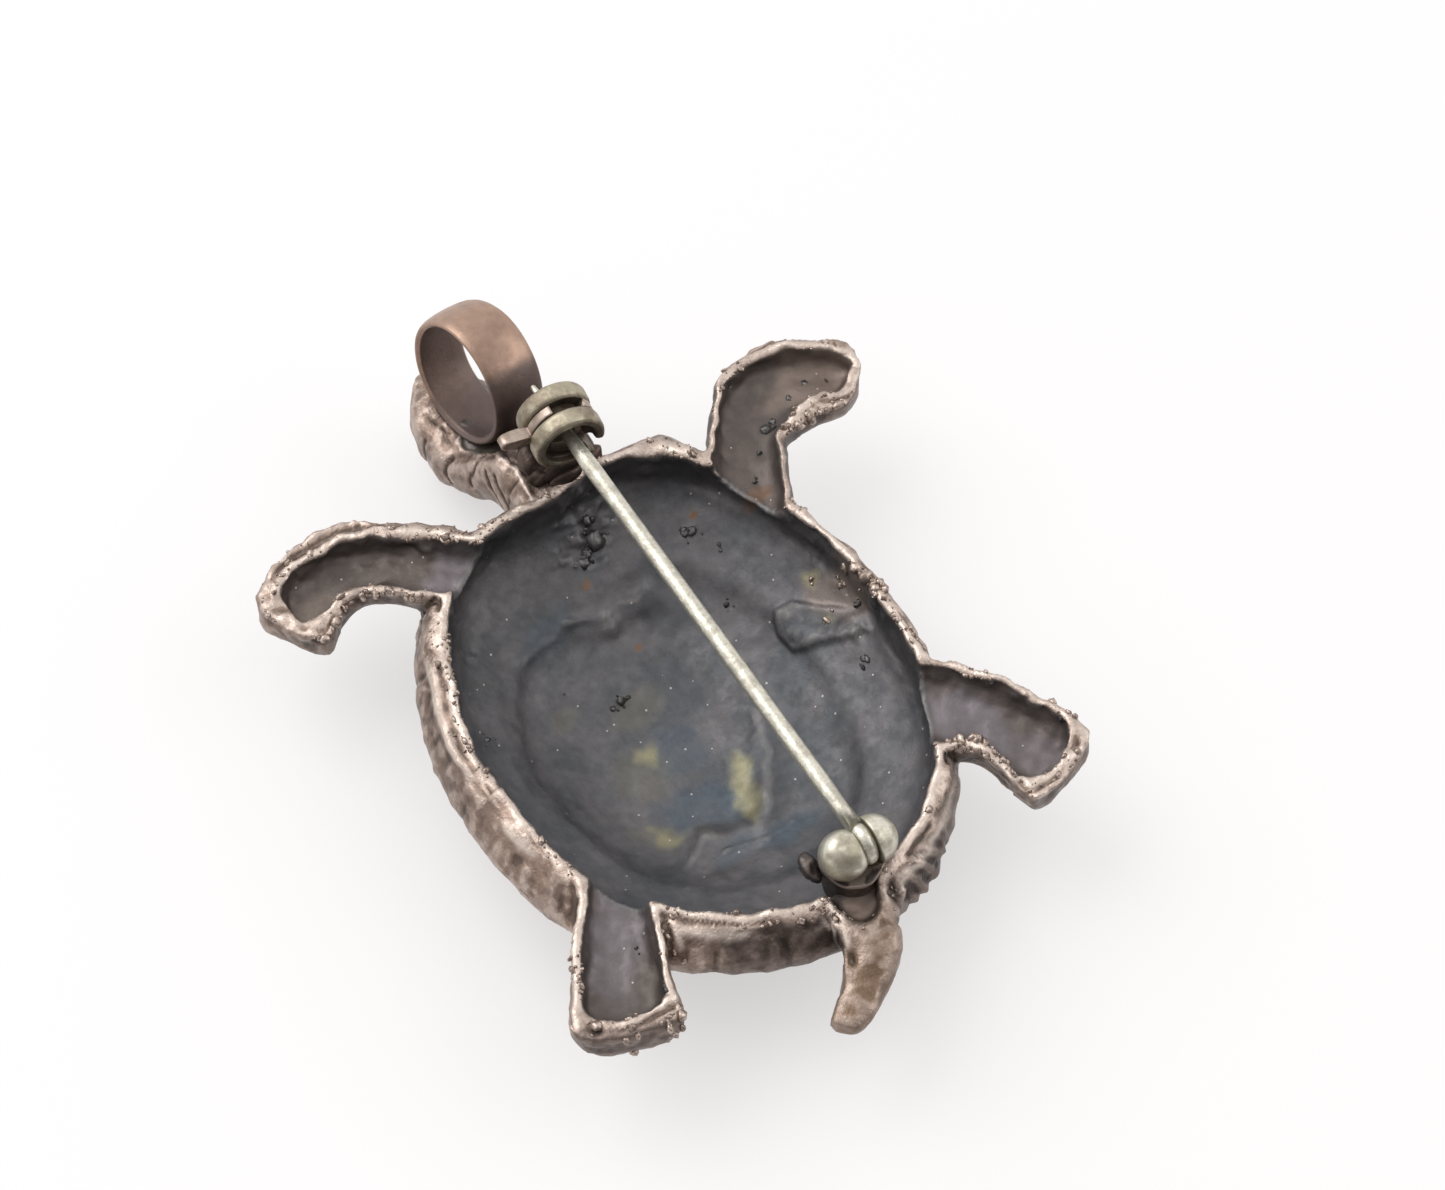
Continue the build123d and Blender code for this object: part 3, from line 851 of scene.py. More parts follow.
def inside_masks(points, s, paths):
    """Masks of the hollow's skin and the channels' skins, and the distance outside the nearest inner edge."""
    share = outline_share(points, s, s["rim_width"])[0]
    down = (s["depth"] - points[:, 2]) / s["depth"]
    wall = (hollow_share_at(down) - share) * s["half_width"]
    floor = (hollow_depth_at(np.clip(share, 0, 1)) - down) * s["depth"]
    gap = np.where(share < 1, np.maximum(wall, floor), wall)
    hollow = between(gap, -0.32, -0.12)
    edge = np.where(share > 0.97, (share - 1) * s["half_width"], 9.0)
    channels = np.zeros(len(points))
    for path in paths:
        row, across, distance = along_leg(points, path)
        width = np.linalg.norm(path[1][row], axis=1)
        side = (1 - np.abs(across)) * width
        top = s["depth"] - LEG_SINK - path[2][row]
        deep = points[:, 2] - (top - (s["leg_depth"] - s["leg_floor"]))
        last = path[0][-1]
        step = last - path[0][-2]
        beyond = (points[:, :2] - last) @ (step / np.linalg.norm(step))
        near = (distance < 1.15 * width) & (deep > -0.25) & (beyond < 0.1)
        channels = np.maximum(channels, np.where(near, between(side, -0.2, -0.02), 0.0))
        close = (distance < 2.2 * width) & (beyond < 1.2)
        edge = np.where(close, np.minimum(edge, np.maximum(-side, beyond)), edge)
    return hollow, channels, edge


def enclosed(points, outline, low, high, ragged=0.0, seed=1):
    """Mask of a closed outline in the plan.

    The distance inside its edge, shifted by noise, is mapped from low..high to 0..1.
    """
    rows = np.asarray(outline, float)
    x, y = points[:, 0], points[:, 1]
    nearest = np.full(len(points), 1e9)
    within = np.zeros(len(points), dtype=bool)
    for (x0, y0), (x1, y1) in zip(rows, np.roll(rows, -1, axis=0)):
        step = np.array([x1 - x0, y1 - y0])
        t = np.clip(((x - x0) * step[0] + (y - y0) * step[1]) / (step @ step), 0, 1)
        nearest = np.minimum(nearest, np.hypot(x - x0 - t * step[0], y - y0 - t * step[1]))
        if y0 != y1:
            within ^= ((y0 > y) != (y1 > y)) & (x < x0 + step[0] * (y - y0) / step[1])
    signed = np.where(within, nearest, -nearest) + ragged * layered(points, 0.9, seed, 3)
    return between(signed, low, high)


# A turn about two axes, as a matrix
TURNED = np.array(((0.77, -0.47, 0.43), (0.64, 0.56, -0.53), (0.01, 0.68, 0.73)))


def flow_places(points, s, paths):
    """Places for noise drawn out along the rim and the legs: run along them, distance across, height."""
    share, angle = outline_share(points, s, 0.0)
    run = angle * (s["half_width"] + s["half_length"]) / 2
    flow = np.stack([0.45 * run, 1.5 * share * s["half_width"], 1.5 * points[:, 2]], axis=1)
    for n, path in enumerate(paths):
        row, across, distance = along_leg(points, path)
        width = np.linalg.norm(path[1][row], axis=1)
        step = float(np.linalg.norm(path[0][-1] - path[0][0])) / len(path[0])
        leg = np.stack([0.45 * row * step + 40 * (n + 1), 1.5 * across * width, 1.5 * points[:, 2]], axis=1)
        chosen = (distance < 2.2 * width) & (share > 1.06)
        flow = np.where(chosen[:, None], leg, flow)
    # turned, so that the noise's own grid doesn't line up with the rim
    return (flow + 0.3 * wandering(points, 1.5, 171)) @ TURNED


def strokes(points, table):
    """Height of the straight strokes of a table, each a rounded ridge or furrow about a line."""
    total = np.zeros(len(points))
    for x0, y0, x1, y1, half, height in table:
        step = np.array([x1 - x0, y1 - y0])
        length = max(float(np.hypot(*step)), 1e-6)
        offset = points[:, :2] - (x0, y0)
        t = np.clip(offset @ step / length**2, 0, 1)
        away = np.hypot(offset[:, 0] - t * step[0], offset[:, 1] - t * step[1])
        total += height * bell(away, 0.0, half)
    return total


def scutes(points, s):
    """Furrow and ring pattern of the carapace.

    A furrow lies where the nearest and the second nearest of the plates' middles are equally far, and
    rings run about the nearest.
    """
    x = points[:, 0] / s["half_width"]
    y = points[:, 1] / s["half_length"] - 0.06
    middles = []
    for n in range(5):
        middles.append((0.0, -0.66 + 0.33 * n))
    for side in (-1, 1):
        for n in range(4):
            middles.append((side * 0.56, -0.52 + 0.35 * n))
    for n in range(24):
        a = 2 * np.pi * (n + 0.5) / 24
        middles.append((1.08 * np.cos(a), 1.1 * np.sin(a)))
    first = np.full(len(points), 9.0)
    second = np.full(len(points), 9.0)
    for mx, my in middles:
        d = np.hypot(x - mx, (y - my) * 1.15)
        second = np.minimum(second, np.maximum(first, d))
        first = np.minimum(first, d)
    furrow = 1 - fade((second - first) / 0.06)
    rings = 0.5 + 0.5 * np.cos(first * 70)
    return furrow, rings * (1 - furrow) * between(first, 0.03, 0.08)


def cast_skin(piece, passes=5):
    """Edges, evened points and normals of a remeshed piece."""
    edges = edges_of(piece)
    points = relaxed(points_of(piece), edges, passes)
    return edges, points, normals_of(piece, points)


def finish_skin(piece, points, normals, edges, height, masks):
    """Moves a skin's points along their normals and stores its masks and how raised each point is."""
    points = points + normals * height[:, None]
    points = relaxed(points, edges, 1, 0.3)
    mean = points
    for _ in range(6):
        mean = neighbour_mean(mean, edges, len(points))
    raised = np.einsum("ij,ij->i", points - mean, normals)
    for name, values in masks.items():
        store(piece, name, values)
    store(piece, "worn", 0.5 + raised * 9)
    move_points(piece, points)
    return points


def stains(points, table, seed):
    """Strength of a table of oval stains whose edges are broken up by noise."""
    total = np.zeros(len(points))
    ragged = 0.35 * layered(points, 0.7, seed, 3)
    for x, y, long, wide, turn, strength in table:
        a = math.radians(turn)
        u = (points[:, 0] - x) * math.cos(a) + (points[:, 1] - y) * math.sin(a)
        v = (points[:, 1] - y) * math.cos(a) - (points[:, 0] - x) * math.sin(a)
        total = np.maximum(total, strength * (1 - between(np.hypot(u / long, v / wide) + ragged, 0.55, 1.15)))
    return total


def hollow_cutter(s, name, inset):
    """The hollow as a closed surface, to cut with."""
    hollow = np.array(HOLLOW_SECTION)
    hollow = np.vstack([hollow[:1], curve_through(hollow[1:], 60)])
    return solid(name, [tube(oval_rings(hollow, s, inset, 240))])


def wandering(points, size, seed):
    """A small vector at each point from three fields of noise."""
    return np.stack([layered(points, size, seed + 7 * n, 2) for n in range(3)], axis=1)


def cast_solid(s):
    """Carapace, legs and tail as closed surfaces, joined, hollowed and remeshed, and the channels' paths."""
    outer = curve_through(OUTER_SECTION, 70)
    outer[:, 1] = np.clip(outer[:, 1], 0, 1)
    body = solid("turtle_body", [tube(oval_rings(outer, s, 0.0, 240))])
    pieces, channels, paths = [], [], []
    depth = s["leg_depth"] - s["leg_floor"]
    root = LEG_ROOT + 2 * s["rim_width"]
    for name, rows in LEG_SECTIONS.items():
        path = leg_path(rows, s, 44, LEG_ROOT)
        pieces.append(solid(name, [tube(leg_rings(path, s, LEG_OUTSIDE, s["leg_depth"], TOE_ROUND))]))
        inner = leg_path(rows, s, 60, root, LEG_WALLS[name], TOE_WALL[name])
        rings = leg_rings(inner, s, LEG_CHANNEL, depth, CHANNEL_ROUND)
        channels.append(solid(name + "_channel", [tube(rings)]))
        paths.append(inner)
    dip = leg_path(TAIL_DIP, s, 30, root, DIP_WALLS, 0.3)
    rings = leg_rings(dip, s, LEG_CHANNEL, 0.65 * depth, CHANNEL_ROUND)
    channels.append(solid("tail_channel", [tube(rings)]))
    paths.append(dip)
    pieces.append(solid("tail", [tube(tail_rings(s))]))
    combined(body, pieces, "UNION")
    combined(body, [hollow_cutter(s, "hollow", s["rim_width"])] + channels, "DIFFERENCE")
    remeshed(body, s["grain"] / 1000)
    body.name = "turtle_body"
    return body, paths


def casting_zones(s, points, normals, paths):
    """Masks of the casting's zones, the share of the outline and the distance outside the inner edges."""
    x, y, z = points.T
    inner, channel, edge = inside_masks(points, s, paths)
    share = outline_share(points, s, 0)[0]
    facing_up = between(normals[:, 2], 0.2, 0.6)
    top = facing_up * between(z, s["depth"] - 0.85, s["depth"] - 0.55)
    inner, channel = inner * (1 - top), channel * (1 - top)
    inside = np.maximum(inner, channel)
    on_tail = between(-y, 1.02 * s["half_length"], 1.1 * s["half_length"]) * (np.abs(x + 0.5) < 3.6)
    dark_toe = (x < -7.0) * between(points @ TOE_DIRECTION + 0.12 * layered(points, 1.0, 56, 2), 15.95, 16.35)
    rim = facing_up * (1 - inside) * between(z, s["depth"] - 1.4, s["depth"] - 0.8) * (1 - 0.8 * on_tail)
    rim_reach = np.where(share > 1.08, 1.2, 0.66)
    rim = rim * (1 - between(edge - rim_reach, -0.1, 0.2)) * (1 - 0.9 * dark_toe)

    # crests raised and given a painted highlight: one along the inner edge, parts of a second one, and the
    # ridge of the tail
    bottom_rim = (y < -8.6) * (x > -7.5) * (x < 0.0)
    presence = np.maximum(between(layered(points, 1.8, 57, 2), -0.35, 0.1), bottom_rim)
    broken = 0.55 + 0.45 * between(layered(points, 0.4, 60, 2), -0.25, 0.15)
    crest_highlight = bell(edge, 0.2, 0.17) * top * (0.3 + 0.7 * presence) * broken
    second = bell(edge, 0.95, 0.16) * facing_up * between(layered(points, 2.5, 58, 2), -0.05, 0.2)
    crest_highlight = np.maximum(crest_highlight, 0.7 * second * (1 - inside)) * (1 - on_tail) * (1 - dark_toe)
    tail_ridge_highlight = np.clip(strokes(points, TAIL_RIDGE_HIGHLIGHT), 0, 1) * facing_up * (z > 4.0)

    outside = (1 - inside) * (1 - rim)
    flank = outside * between(z, 2.6, 3.8)
    floor = inner * between(normals[:, 2], 0.1, 0.6)
    return SimpleNamespace(
        inner=inner,
        channel=channel,
        inside=inside,
        edge=edge,
        share=share,
        facing_up=facing_up,
        on_tail=on_tail,
        dark_toe=dark_toe,
        rim=rim,
        crest_highlight=np.maximum(crest_highlight, tail_ridge_highlight),
        outside=outside,
        flank=flank,
        floor=floor,
        wall=inner * (1 - floor),
        pit=stains(points, PITTED, 30),
        ridged=stains(points, RIDGED, 6) * flank * (y < -11.0),
    )


def hollow_relief(points, at):
    """Height of the hollow's folds, dish, patch and rough places, and of its wall."""
    x, y = points[:, 0], points[:, 1]
    drift = 0.5 * wandering(points, 1.9, 151)
    height = 0.05 * layered(points, 3.0, 3, 3)
    height += at.floor * strokes(points + drift, FLOOR_FOLDS)
    height += at.floor * (0.1 - 0.28 * enclosed(points + drift, DISH_OUTLINE, -0.7, 0.9, 0.2, 23))
    height -= at.floor * 0.1 * between(-np.hypot((x + 1.8) / 3.6, (y + 0.2) / 4.2), -1.15, -0.75)
    patch = enclosed(points, PATCH_OUTLINE, -0.12, 0.12, 0.1, 24)
    height += at.floor * patch * (0.24 + 0.14 * layered(points, 0.9, 26, 3))
    height += at.floor * 0.1 * layered(points, 2.6, 21, 3)
    height += at.inner * 0.03 * layered(points, 0.8, 29, 3)
    steep = 0.16 * layered(points * (1, 1, 0.5), 1.8, 35, 3)
    height += at.wall * (steep + 0.05 * layered(points, 0.6, 36, 2))
    height += at.inner * at.pit * (0.4 * layered(points, 0.8, 31, 3, 0.7) - 0.08)
    return height


def outer_relief(s, points, at, flow):
    """Height of the channels' ripples, the rims, the scutes, the flanks and the tail."""
    x, y, z = points.T
    rough = s["roughness"]
    ripple = np.sin(points @ (3.2, -5.0, 0) + 2 * noise(points, 1.2, 44)) * (x > 10.5) * (y < 0)
    height = at.channel * (0.09 * layered(flow, 1.2, 41, 3) + 0.03 * ripple)
    height += at.rim * rough * (0.17 * layered(flow, 1.1, 51, 4, 0.6) + 0.06 * grains(points, 0.45, 61, 0.45))
    height += at.crest_highlight * rough * (0.1 + 0.12 * layered(flow, 1.2, 59, 3, 0.6))
    groove = bell(at.edge, 0.58, 0.16) * between(layered(points, 2.2, 63, 2), -0.2, 0.15)
    height -= at.rim * rough * 0.16 * groove
    furrow, rings = scutes(points, s)
    shell = at.outside * (1 - between(z, s["depth"] - 1.0, s["depth"] - 0.4)) * (at.share < 1.12)
    height += shell * (0.05 * rings - 0.13 * furrow * (0.5 + 0.6 * noise(points, 2.2, 70)))
    height += at.flank * rough * 0.15 * layered(flow, 1.8, 75, 4, 0.5)
    fine = 0.05 * layered(points, 1.2, 71, 4, 0.6) + 0.03 * grains(points, 0.55, 81, 0.3)
    height += at.outside * rough * fine
    height -= at.flank * (1 - at.on_tail) * 0.1 * between(layered(flow, 1.9, 78, 3), 0.26, 0.55)
    height += at.ridged * 0.1 * np.sin(7.5 * (points @ (0.9, 0.2, 0.5)) + 2 * noise(points, 1.5, 45))
    height -= at.on_tail * 0.3 * bell(x, -1.0, 0.3) * bell(y, -14.9, 0.42) * at.facing_up
    return height


def ragged_rim(s, points, at):
    """Points shifted about near the rim, and out where a low hump stands beside the right flipper."""
    x, y, z = points.T
    near_rim = between(z, s["depth"] - 2.4, s["depth"] - 0.6)
    crumbly = 0.09 + 0.08 * (x < -5.0) * (y > 6.0)
    shift = wandering(points, 1.7, 101) * (0.2, 0.2, 0.14)
    shift += wandering(points, 0.6, 131) * (1, 1, 0.7) * crumbly[:, None]
    points = points + shift * (near_rim * s["roughness"])[:, None]
    along = (points[:, :2] - (6.1, 12.0)) @ (0.9, -0.43)
    hump = bell(along, 0.0, 1.4) * (1 - at.inside) * between(at.share, 0.94, 1.02) * (points[:, 1] > 9.0)
    hump *= between(z, 3.6, 5.4) * (1 - 0.55 * between(z, s["depth"] - 0.7, s["depth"]))
    return points + hump[:, None] * (0.25, 0.6, 0.0)


def casting_masks(s, points, normals, at):
    """The masks that the toned silver reads."""
    x, y = points[:, 0], points[:, 1]
    # lit: painted light and shade on the outside. It is lighter on the left side and darker on the low side
    # and where the skin faces back. The ridged patch and the left back toe are darker too
    low_side_shade = (y < -8.6) * (np.abs(x - 2.0) < 7.4) * (at.share < 1.16) * (1 - at.on_tail)
    back_facing_shade = between(-normals[:, 1], 0.35, 0.8) * (1 - at.facing_up)
    left_side_light = between(-x, 4.5, 7.5) * (1 - 0.7 * between(y, -4.0, 2.0))
    lit = 0.4 + 0.5 * left_side_light - 0.85 * low_side_shade - 0.5 * back_facing_shade - 0.6 * at.ridged - at.dark_toe
    tail_end = 0.85 * at.on_tail * between(-y, 1.1 * s["half_length"], 1.18 * s["half_length"])
    # painted shadow round the beads
    bead_shadow = np.zeros(len(points))
    for bead_x, bead_y, radius, _ in FLOOR_BEADS:
        bead_shadow = np.maximum(bead_shadow, bell(np.hypot(x - bead_x, y - bead_y), 0.0, 1.5 * radius))
    neck_side_shade = between(points @ (-0.35, 0.9, 0), 6.8, 9.6) * at.inner
    # wall mask: painted shade on the hollow's walls, towards the neck and round the beads, with darker pitted
    # places
    dark = [at.wall, 0.7 * neck_side_shade, 0.45 * bead_shadow * at.inside, 0.5 * at.pit * at.inner]
    pale = np.zeros(len(points))
    for outline in PALE_OUTLINES:
        pale = np.maximum(pale, enclosed(points, outline, -0.3, 0.3, 0.55, 28))
    return {
        "inside": at.inside,
        "wall": np.maximum.reduce(dark),
        "rim": at.rim,
        "crest_highlight": at.crest_highlight,
        "lit": np.clip(lit, 0.0, 1.0),
        "warm": np.maximum(tail_end, stains(points, WARM_STAINS, 5)),
        "pale": at.inner * pale,
        "faint": at.inner * stains(points, FAINT_STAINS, 11),
        "blue": at.inner * stains(points, BLUE_STAINS, 12),
        "copper": at.inside * stains(points, COPPER_STAINS, 13),
        "channel": at.channel * (1 - at.inner),
        "violet": stains(points, VIOLET_STAINS, 14),
    }


def casting(s):
    """The turtle as cast, with its raised texture added along the normals."""
    body, paths = cast_solid(s)
    edges, points, normals = cast_skin(body)
    at = casting_zones(s, points, normals, paths)
    height = hollow_relief(points, at) + outer_relief(s, points, at, flow_places(points, s, paths))
    points = ragged_rim(s, points, at)
    masks = casting_masks(s, points, normals, at)
    points = finish_skin(body, points, normals, edges, height, masks)
    return body, points, masks, at.edge


def cast_head(s):
    """Neck and head, cut by the hollow and remeshed, with cracks and folds, eyes and a mouth."""
    head = solid("turtle_head", [tube(head_rings(s))])
    combined(head, [hollow_cutter(s, "hollow_for_head", s["rim_width"] - 0.42)], "DIFFERENCE")
    remeshed(head, s["grain"] * 0.8 / 1000)
    head.name = "turtle_head"
    edges, points, normals = cast_skin(head, 4)
    x, y, z = points.T
    up = normals[:, 2]
    spine = x - np.interp(y, *HEAD_SPINE)
    back = between(up, 0.45, 0.85) * between(spine, -0.15, 0.15)
    side = between(np.abs(normals[:, 0]), 0.3, 0.7)
    wobble = 0.35 * wandering(points, 1.1, 17)
    height = 0.4 * side * strokes((points + wobble)[:, [1, 2, 0]], HEAD_FOLDS)
    streaks = layered(points * (0.8, 1.2, 0.45) + wobble, 1.5, 91, 4, 0.5)
    crack = between(np.abs(noise(points * (0.7, 0.8, 0.35) + wobble, 1.9, 95)), 0.05, 0.0)
    height += (1 - back) * (0.11 * streaks - 0.1 * crack * between(streaks, 0.1, -0.2))
    height += (1 - back) * 0.07 * layered(points * (0.8, 1.4, 0.5) + wobble, 0.7, 92, 3, 0.7)
    shoulder = between(up, 0.2, 0.42) * (1 - between(up, 0.55, 0.8))
    shoulder *= between(layered(points, 1.6, 96, 2), -0.3, 0.1)
    jagged = bell(spine + 0.3 * layered(points, 0.5, 93, 3), 0.0, 0.13) * between(up, 0.3, 0.6) * (y < 18.9)
    ridge = np.maximum(0.6 * shoulder, jagged)
    height += 0.11 * ridge
    height += back * 0.05 * layered(points, 1.0, 97, 3)
    for turn in (-1, 1):
        away = np.hypot(x + 0.31 - turn * 1.5, y - 20.4)
        height += between(-up, -0.3, 0.2) * (0.3 * (1 - fade(away / 0.75)) - 0.12 * bell(away, 0.8, 0.12))
    mouth = z - 1.7 + 0.05 * (y - 21) ** 2
    height -= between(y, 20.9, 21.6) * 0.16 * bell(mouth, 0.0, 0.12) * (1 - back)
    height += between(-up, 0.2, 0.7) * 0.05 * grains(points, 0.9, 99, 0.9)
    masks = {
        "inside": back * between(y, 16.0, 17.2) * 0.8,
        # wall and lit: painted shade on the head's back
        "wall": 0.1 * back,
        "rim": (1 - back) * 0.3,
        # crest: painted highlight along the head's ridge
        "crest_highlight": 0.5 * ridge * between(layered(points, 0.45, 94, 2), -0.25, 0.2),
        "lit": 0.58 - 0.2 * back,
        "pale": 0.25 * back,
        "faint": 0.5 * back,
        "channel": 0.5 * back,
        "violet": 0.3 * back,
    }
    for name in ("warm", "blue", "copper"):
        masks[name] = np.zeros(len(points))
    finish_skin(head, points, normals, edges, height, masks)
    return head


def ball_grid(rows, columns, pole):
    """Unit ball as a grid (rows, columns, 3), open at its poles by an angle."""
    v = np.linspace(pole, np.pi - pole, rows)[:, None]
    u = np.linspace(0, 2 * np.pi, columns, endpoint=False)[None, :]
    return np.stack([np.sin(v) * np.cos(u), np.sin(v) * np.sin(u), np.cos(v) + 0 * u], axis=-1)


def scattered(places, sizes, chance, rows=5, columns=8):
    """Small grains at places: balls whose radius at each grid point is a seeded share, all in one array."""
    n = len(places)
    stretch = 0.55 + 0.9 * chance.random((n, 1, 1, 3))
    swell = 0.72 + 0.56 * chance.random((n, rows, columns, 1))
    shape = ball_grid(rows, columns, 0.35)[None] * stretch * swell
    grid = places[:, None, None, :] + sizes[:, None, None, None] * shape
    each = rows * columns + 2
    rings = grid.reshape(n, rows * columns, 3)
    start = grid[:, 0].mean(axis=1) + [0, 0, 0.02]
    end = grid[:, -1].mean(axis=1) - [0, 0, 0.02]
    vertices = np.concatenate([rings, start[:, None], end[:, None]], axis=1).reshape(-1, 3)
    quads = grid_faces(rows, columns)
    j = np.arange(columns)
    k = (j + 1) % columns
    near = np.stack([np.full(columns, rows * columns), k, j], axis=-1)
    last = (rows - 1) * columns
    far = np.stack([np.full(columns, rows * columns + 1), last + j, last + k], axis=-1)
    shift = (np.arange(n) * each)[:, None, None]
    return vertices, [(faces[None] + shift).reshape(-1, faces.shape[1]) for faces in (quads, near, far)]


def lump(middle, sizes, seed, rows=14, columns=20, roughness=0.3):
    """Lumpy bead: a ball of three half sizes whose radius is 1 plus a share of noise at each direction."""
    ball = ball_grid(rows, columns, 0.12)
    swell = 1 + roughness * layered(ball.reshape(-1, 3), 0.8, seed, 2).reshape(rows, columns, 1)
    return tube(ball * swell * np.asarray(sizes, float) + np.asarray(middle, float))


# Beads of the casting in the hollow and the channels: x, y in mm, radius, and how many little lumps
FLOOR_BEADS = (
    (-1.3, 4.1, 0.55, 7),
    (-8.35, 4.1, 0.42, 5),
    (5.6, 8.9, 0.5, 6),
    (6.4, 7.6, 0.26, 3),
    (5.3, 5.3, 0.34, 4),
    (8.6, -1.2, 0.36, 4),
    (9.7, 0.9, 0.5, 5),
    (-3.3, 5.6, 0.2, 2),
    (1.6, 11.0, 0.8, 9),
    (0.6, 10.3, 0.5, 5),
    (11.0, 10.9, 0.5, 4),
    (9.9, 9.9, 0.26, 2),
    (9.0, 8.7, 0.2, 2),
    (12.8, 12.0, 0.26, 3),
    (13.9, 12.3, 0.3, 3),
    (14.9, 11.9, 0.25, 3),
    (-8.5, -9.3, 0.26, 2),
    (-8.6, -12.2, 0.36, 5),
    (14.0, -9.6, 0.3, 3),
    (12.1, -6.3, 0.26, 2),
)
# Lumps of metal on the rims: x, y and radius in mm, and how many
RIM_LUMPS = (
    (9.6, 1.6, 0.5, 10),
    (10.0, 0.8, 0.6, 14),
    (10.3, -0.1, 0.45, 9),
    (-9.0, 10.6, 0.45, 9),
    (-10.0, 10.9, 0.5, 12),
    (-11.2, 11.4, 0.5, 12),
    (-12.6, 11.2, 0.45, 10),
    (11.6, 9.9, 0.5, 10),
    (12.9, 9.4, 0.5, 10),
    (14.2, 9.6, 0.4, 8),
    (8.9, -8.4, 0.5, 12),
    (9.8, -9.2, 0.55, 14),
    (10.0, -10.4, 0.4, 9),
    (-9.4, -13.6, 0.5, 12),
    (-7.6, -13.9, 0.5, 12),
    (-10.9, -12.9, 0.45, 10),
    (-12.2, -12.0, 0.4, 8),
    (-4.8, -12.0, 0.3, 6),
    (-3.4, -12.3, 0.3, 6),
    (-2.0, -12.4, 0.35, 7),
    (-0.9, -12.4, 0.3, 6),
)


def clusters(table, chance, points, chosen, spread=0.85, sink=0.0):
    """Places and sizes of the lumps of each cluster, from its middle, radius and number.

    Each lump lies on the nearest chosen point of the skin, sunk by a share of its size.
    """
    places, sizes = [], []
    skin = points[chosen]
    for x, y, radius, count in table:
        size = radius * (0.14 + 0.3 * chance.random(count) ** 2)
        size[0] = 0.5 * radius
        away = radius * spread * np.sqrt(chance.random(count))
        away[0] = 0.0
        angle = 2 * np.pi * chance.random(count)
        spots = np.stack([x + away * np.cos(angle), y + away * np.sin(angle)], axis=1)
        gap = np.hypot(skin[None, :, 0] - spots[:, None, 0], skin[None, :, 1] - spots[:, None, 1])
        places.append(skin[np.argmin(gap, axis=1)] - sink * size[:, None] * (0.0, 0.0, 1.0))
        sizes.append(size)
    return np.vstack(places), np.concatenate(sizes)


# Flat bright flakes in the hollow: x, y in mm, radius, and how many
FLAKES = (
    (8.75, 3.45, 0.34, 4),
    (8.3, 1.3, 0.34, 4),
    (8.6, 1.6, 0.26, 2),
    (9.8, 2.3, 0.5, 7),
    (10.1, 1.1, 0.5, 7),
)


def beads(points, masks):
    """Casting beads in the hollow and the channels, sunk into the skin that carries them."""
    chance = np.random.default_rng(7)
    places, sizes = clusters(FLOOR_BEADS, chance, points, masks["inside"] > 0.6, 1.0, 0.35)
    return solid("casting_beads", [scattered(places, sizes, chance, 6, 9)])


def rim_grains(points, masks, edge):
    """Bright grains on the rims, and the lumps of metal and flakes of the tables.

    The grains lie on seeded points of the skin, mostly near the inner edges and where a noise is high.
    """
    chance = np.random.default_rng(11)
    field = layered(points, 1.6, 201, 2)
    weight = masks["rim"] * (1 - 0.9 * masks["inside"]) * between(field, -0.1, 0.35)
    weight = weight * (0.25 + bell(edge, 0.15, 0.3))
    weight = weight / weight.sum()
    chosen = chance.choice(len(points), 420, replace=False, p=weight)
    sizes = 0.05 + 0.13 * chance.random(len(chosen)) ** 2.5
    toe = (points @ TOE_DIRECTION > 16.2) & (points[:, 2] > 4.6)
    more, larger = clusters(RIM_LUMPS, chance, points, (masks["rim"] > 0.4) | toe, 1.3)
    flakes, thin = clusters(FLAKES, chance, points, masks["inside"] > 0.6, 0.8, 0.3)
    places = np.vstack([points[chosen], more, flakes])
    return solid("rim_grains", [scattered(places, np.concatenate([sizes, larger, thin]), chance)])


# Fittings. Places are in mm: sideways, from the end of the carapace, and over the open edge or the head
JOINT_PLACE = (1.92, 1.3, 1.3)
CATCH_PLACE = (1.72, 1.4, 2.42)
BAIL_PLACE = (0.64, 7.15, -0.42)
BAIL_SOLDER_PLACE = (0.0, 5.3, 0.0)

# Turns in degrees: of the bail and of the catch about Z, and the bail's lean
BAIL_TURN, CATCH_TURN, BAIL_LEAN = 7.0, 6.0, 9.0

# Section of the bail: share of half its width, and height from -1 on the inner face to 1 on the crown
BAIL_SECTION = (
    (1.0, -0.2), (0.98, 0.25), (0.8, 0.62), (0.5, 0.86), (0.0, 1.0), (-0.5, 0.86), (-0.8, 0.62),
    (-0.98, 0.25), (-1.0, -0.2), (-0.9, -0.9), (-0.5, -1.0), (0.0, -1.0), (0.5, -1.0), (0.9, -0.9),
)

# Lumps of solder: place about a centre and half sizes, in mm
BAIL_LUMPS = (
    (0.35, 0.0, -0.1, (1.7, 1.3, 0.42)),
    (-0.54, 1.07, 0.05, (0.5, 0.6, 0.3)),
    (-0.1, 0.75, 0.3, (0.16, 0.16, 0.14)),
    (0.4, 0.35, 0.35, (0.14, 0.14, 0.12)),
    (1.6, 1.2, -0.05, (0.6, 0.7, 0.35)),
)
FOOT_LUMPS = (
    (-0.15, 0.0, -2.3, (1.65, 1.15, 0.95)),
    (-1.15, 0.25, -2.2, (0.9, 0.9, 0.75)),
    (-1.5, -0.5, -2.45, (0.55, 0.5, 0.5)),
    (0.9, -0.7, -2.5, (0.9, 0.6, 0.5)),
    (-0.4, -1.1, -2.5, (0.9, 0.45, 0.45)),
    (-1.3, 1.2, -3.3, (0.95, 0.85, 1.15)),
)

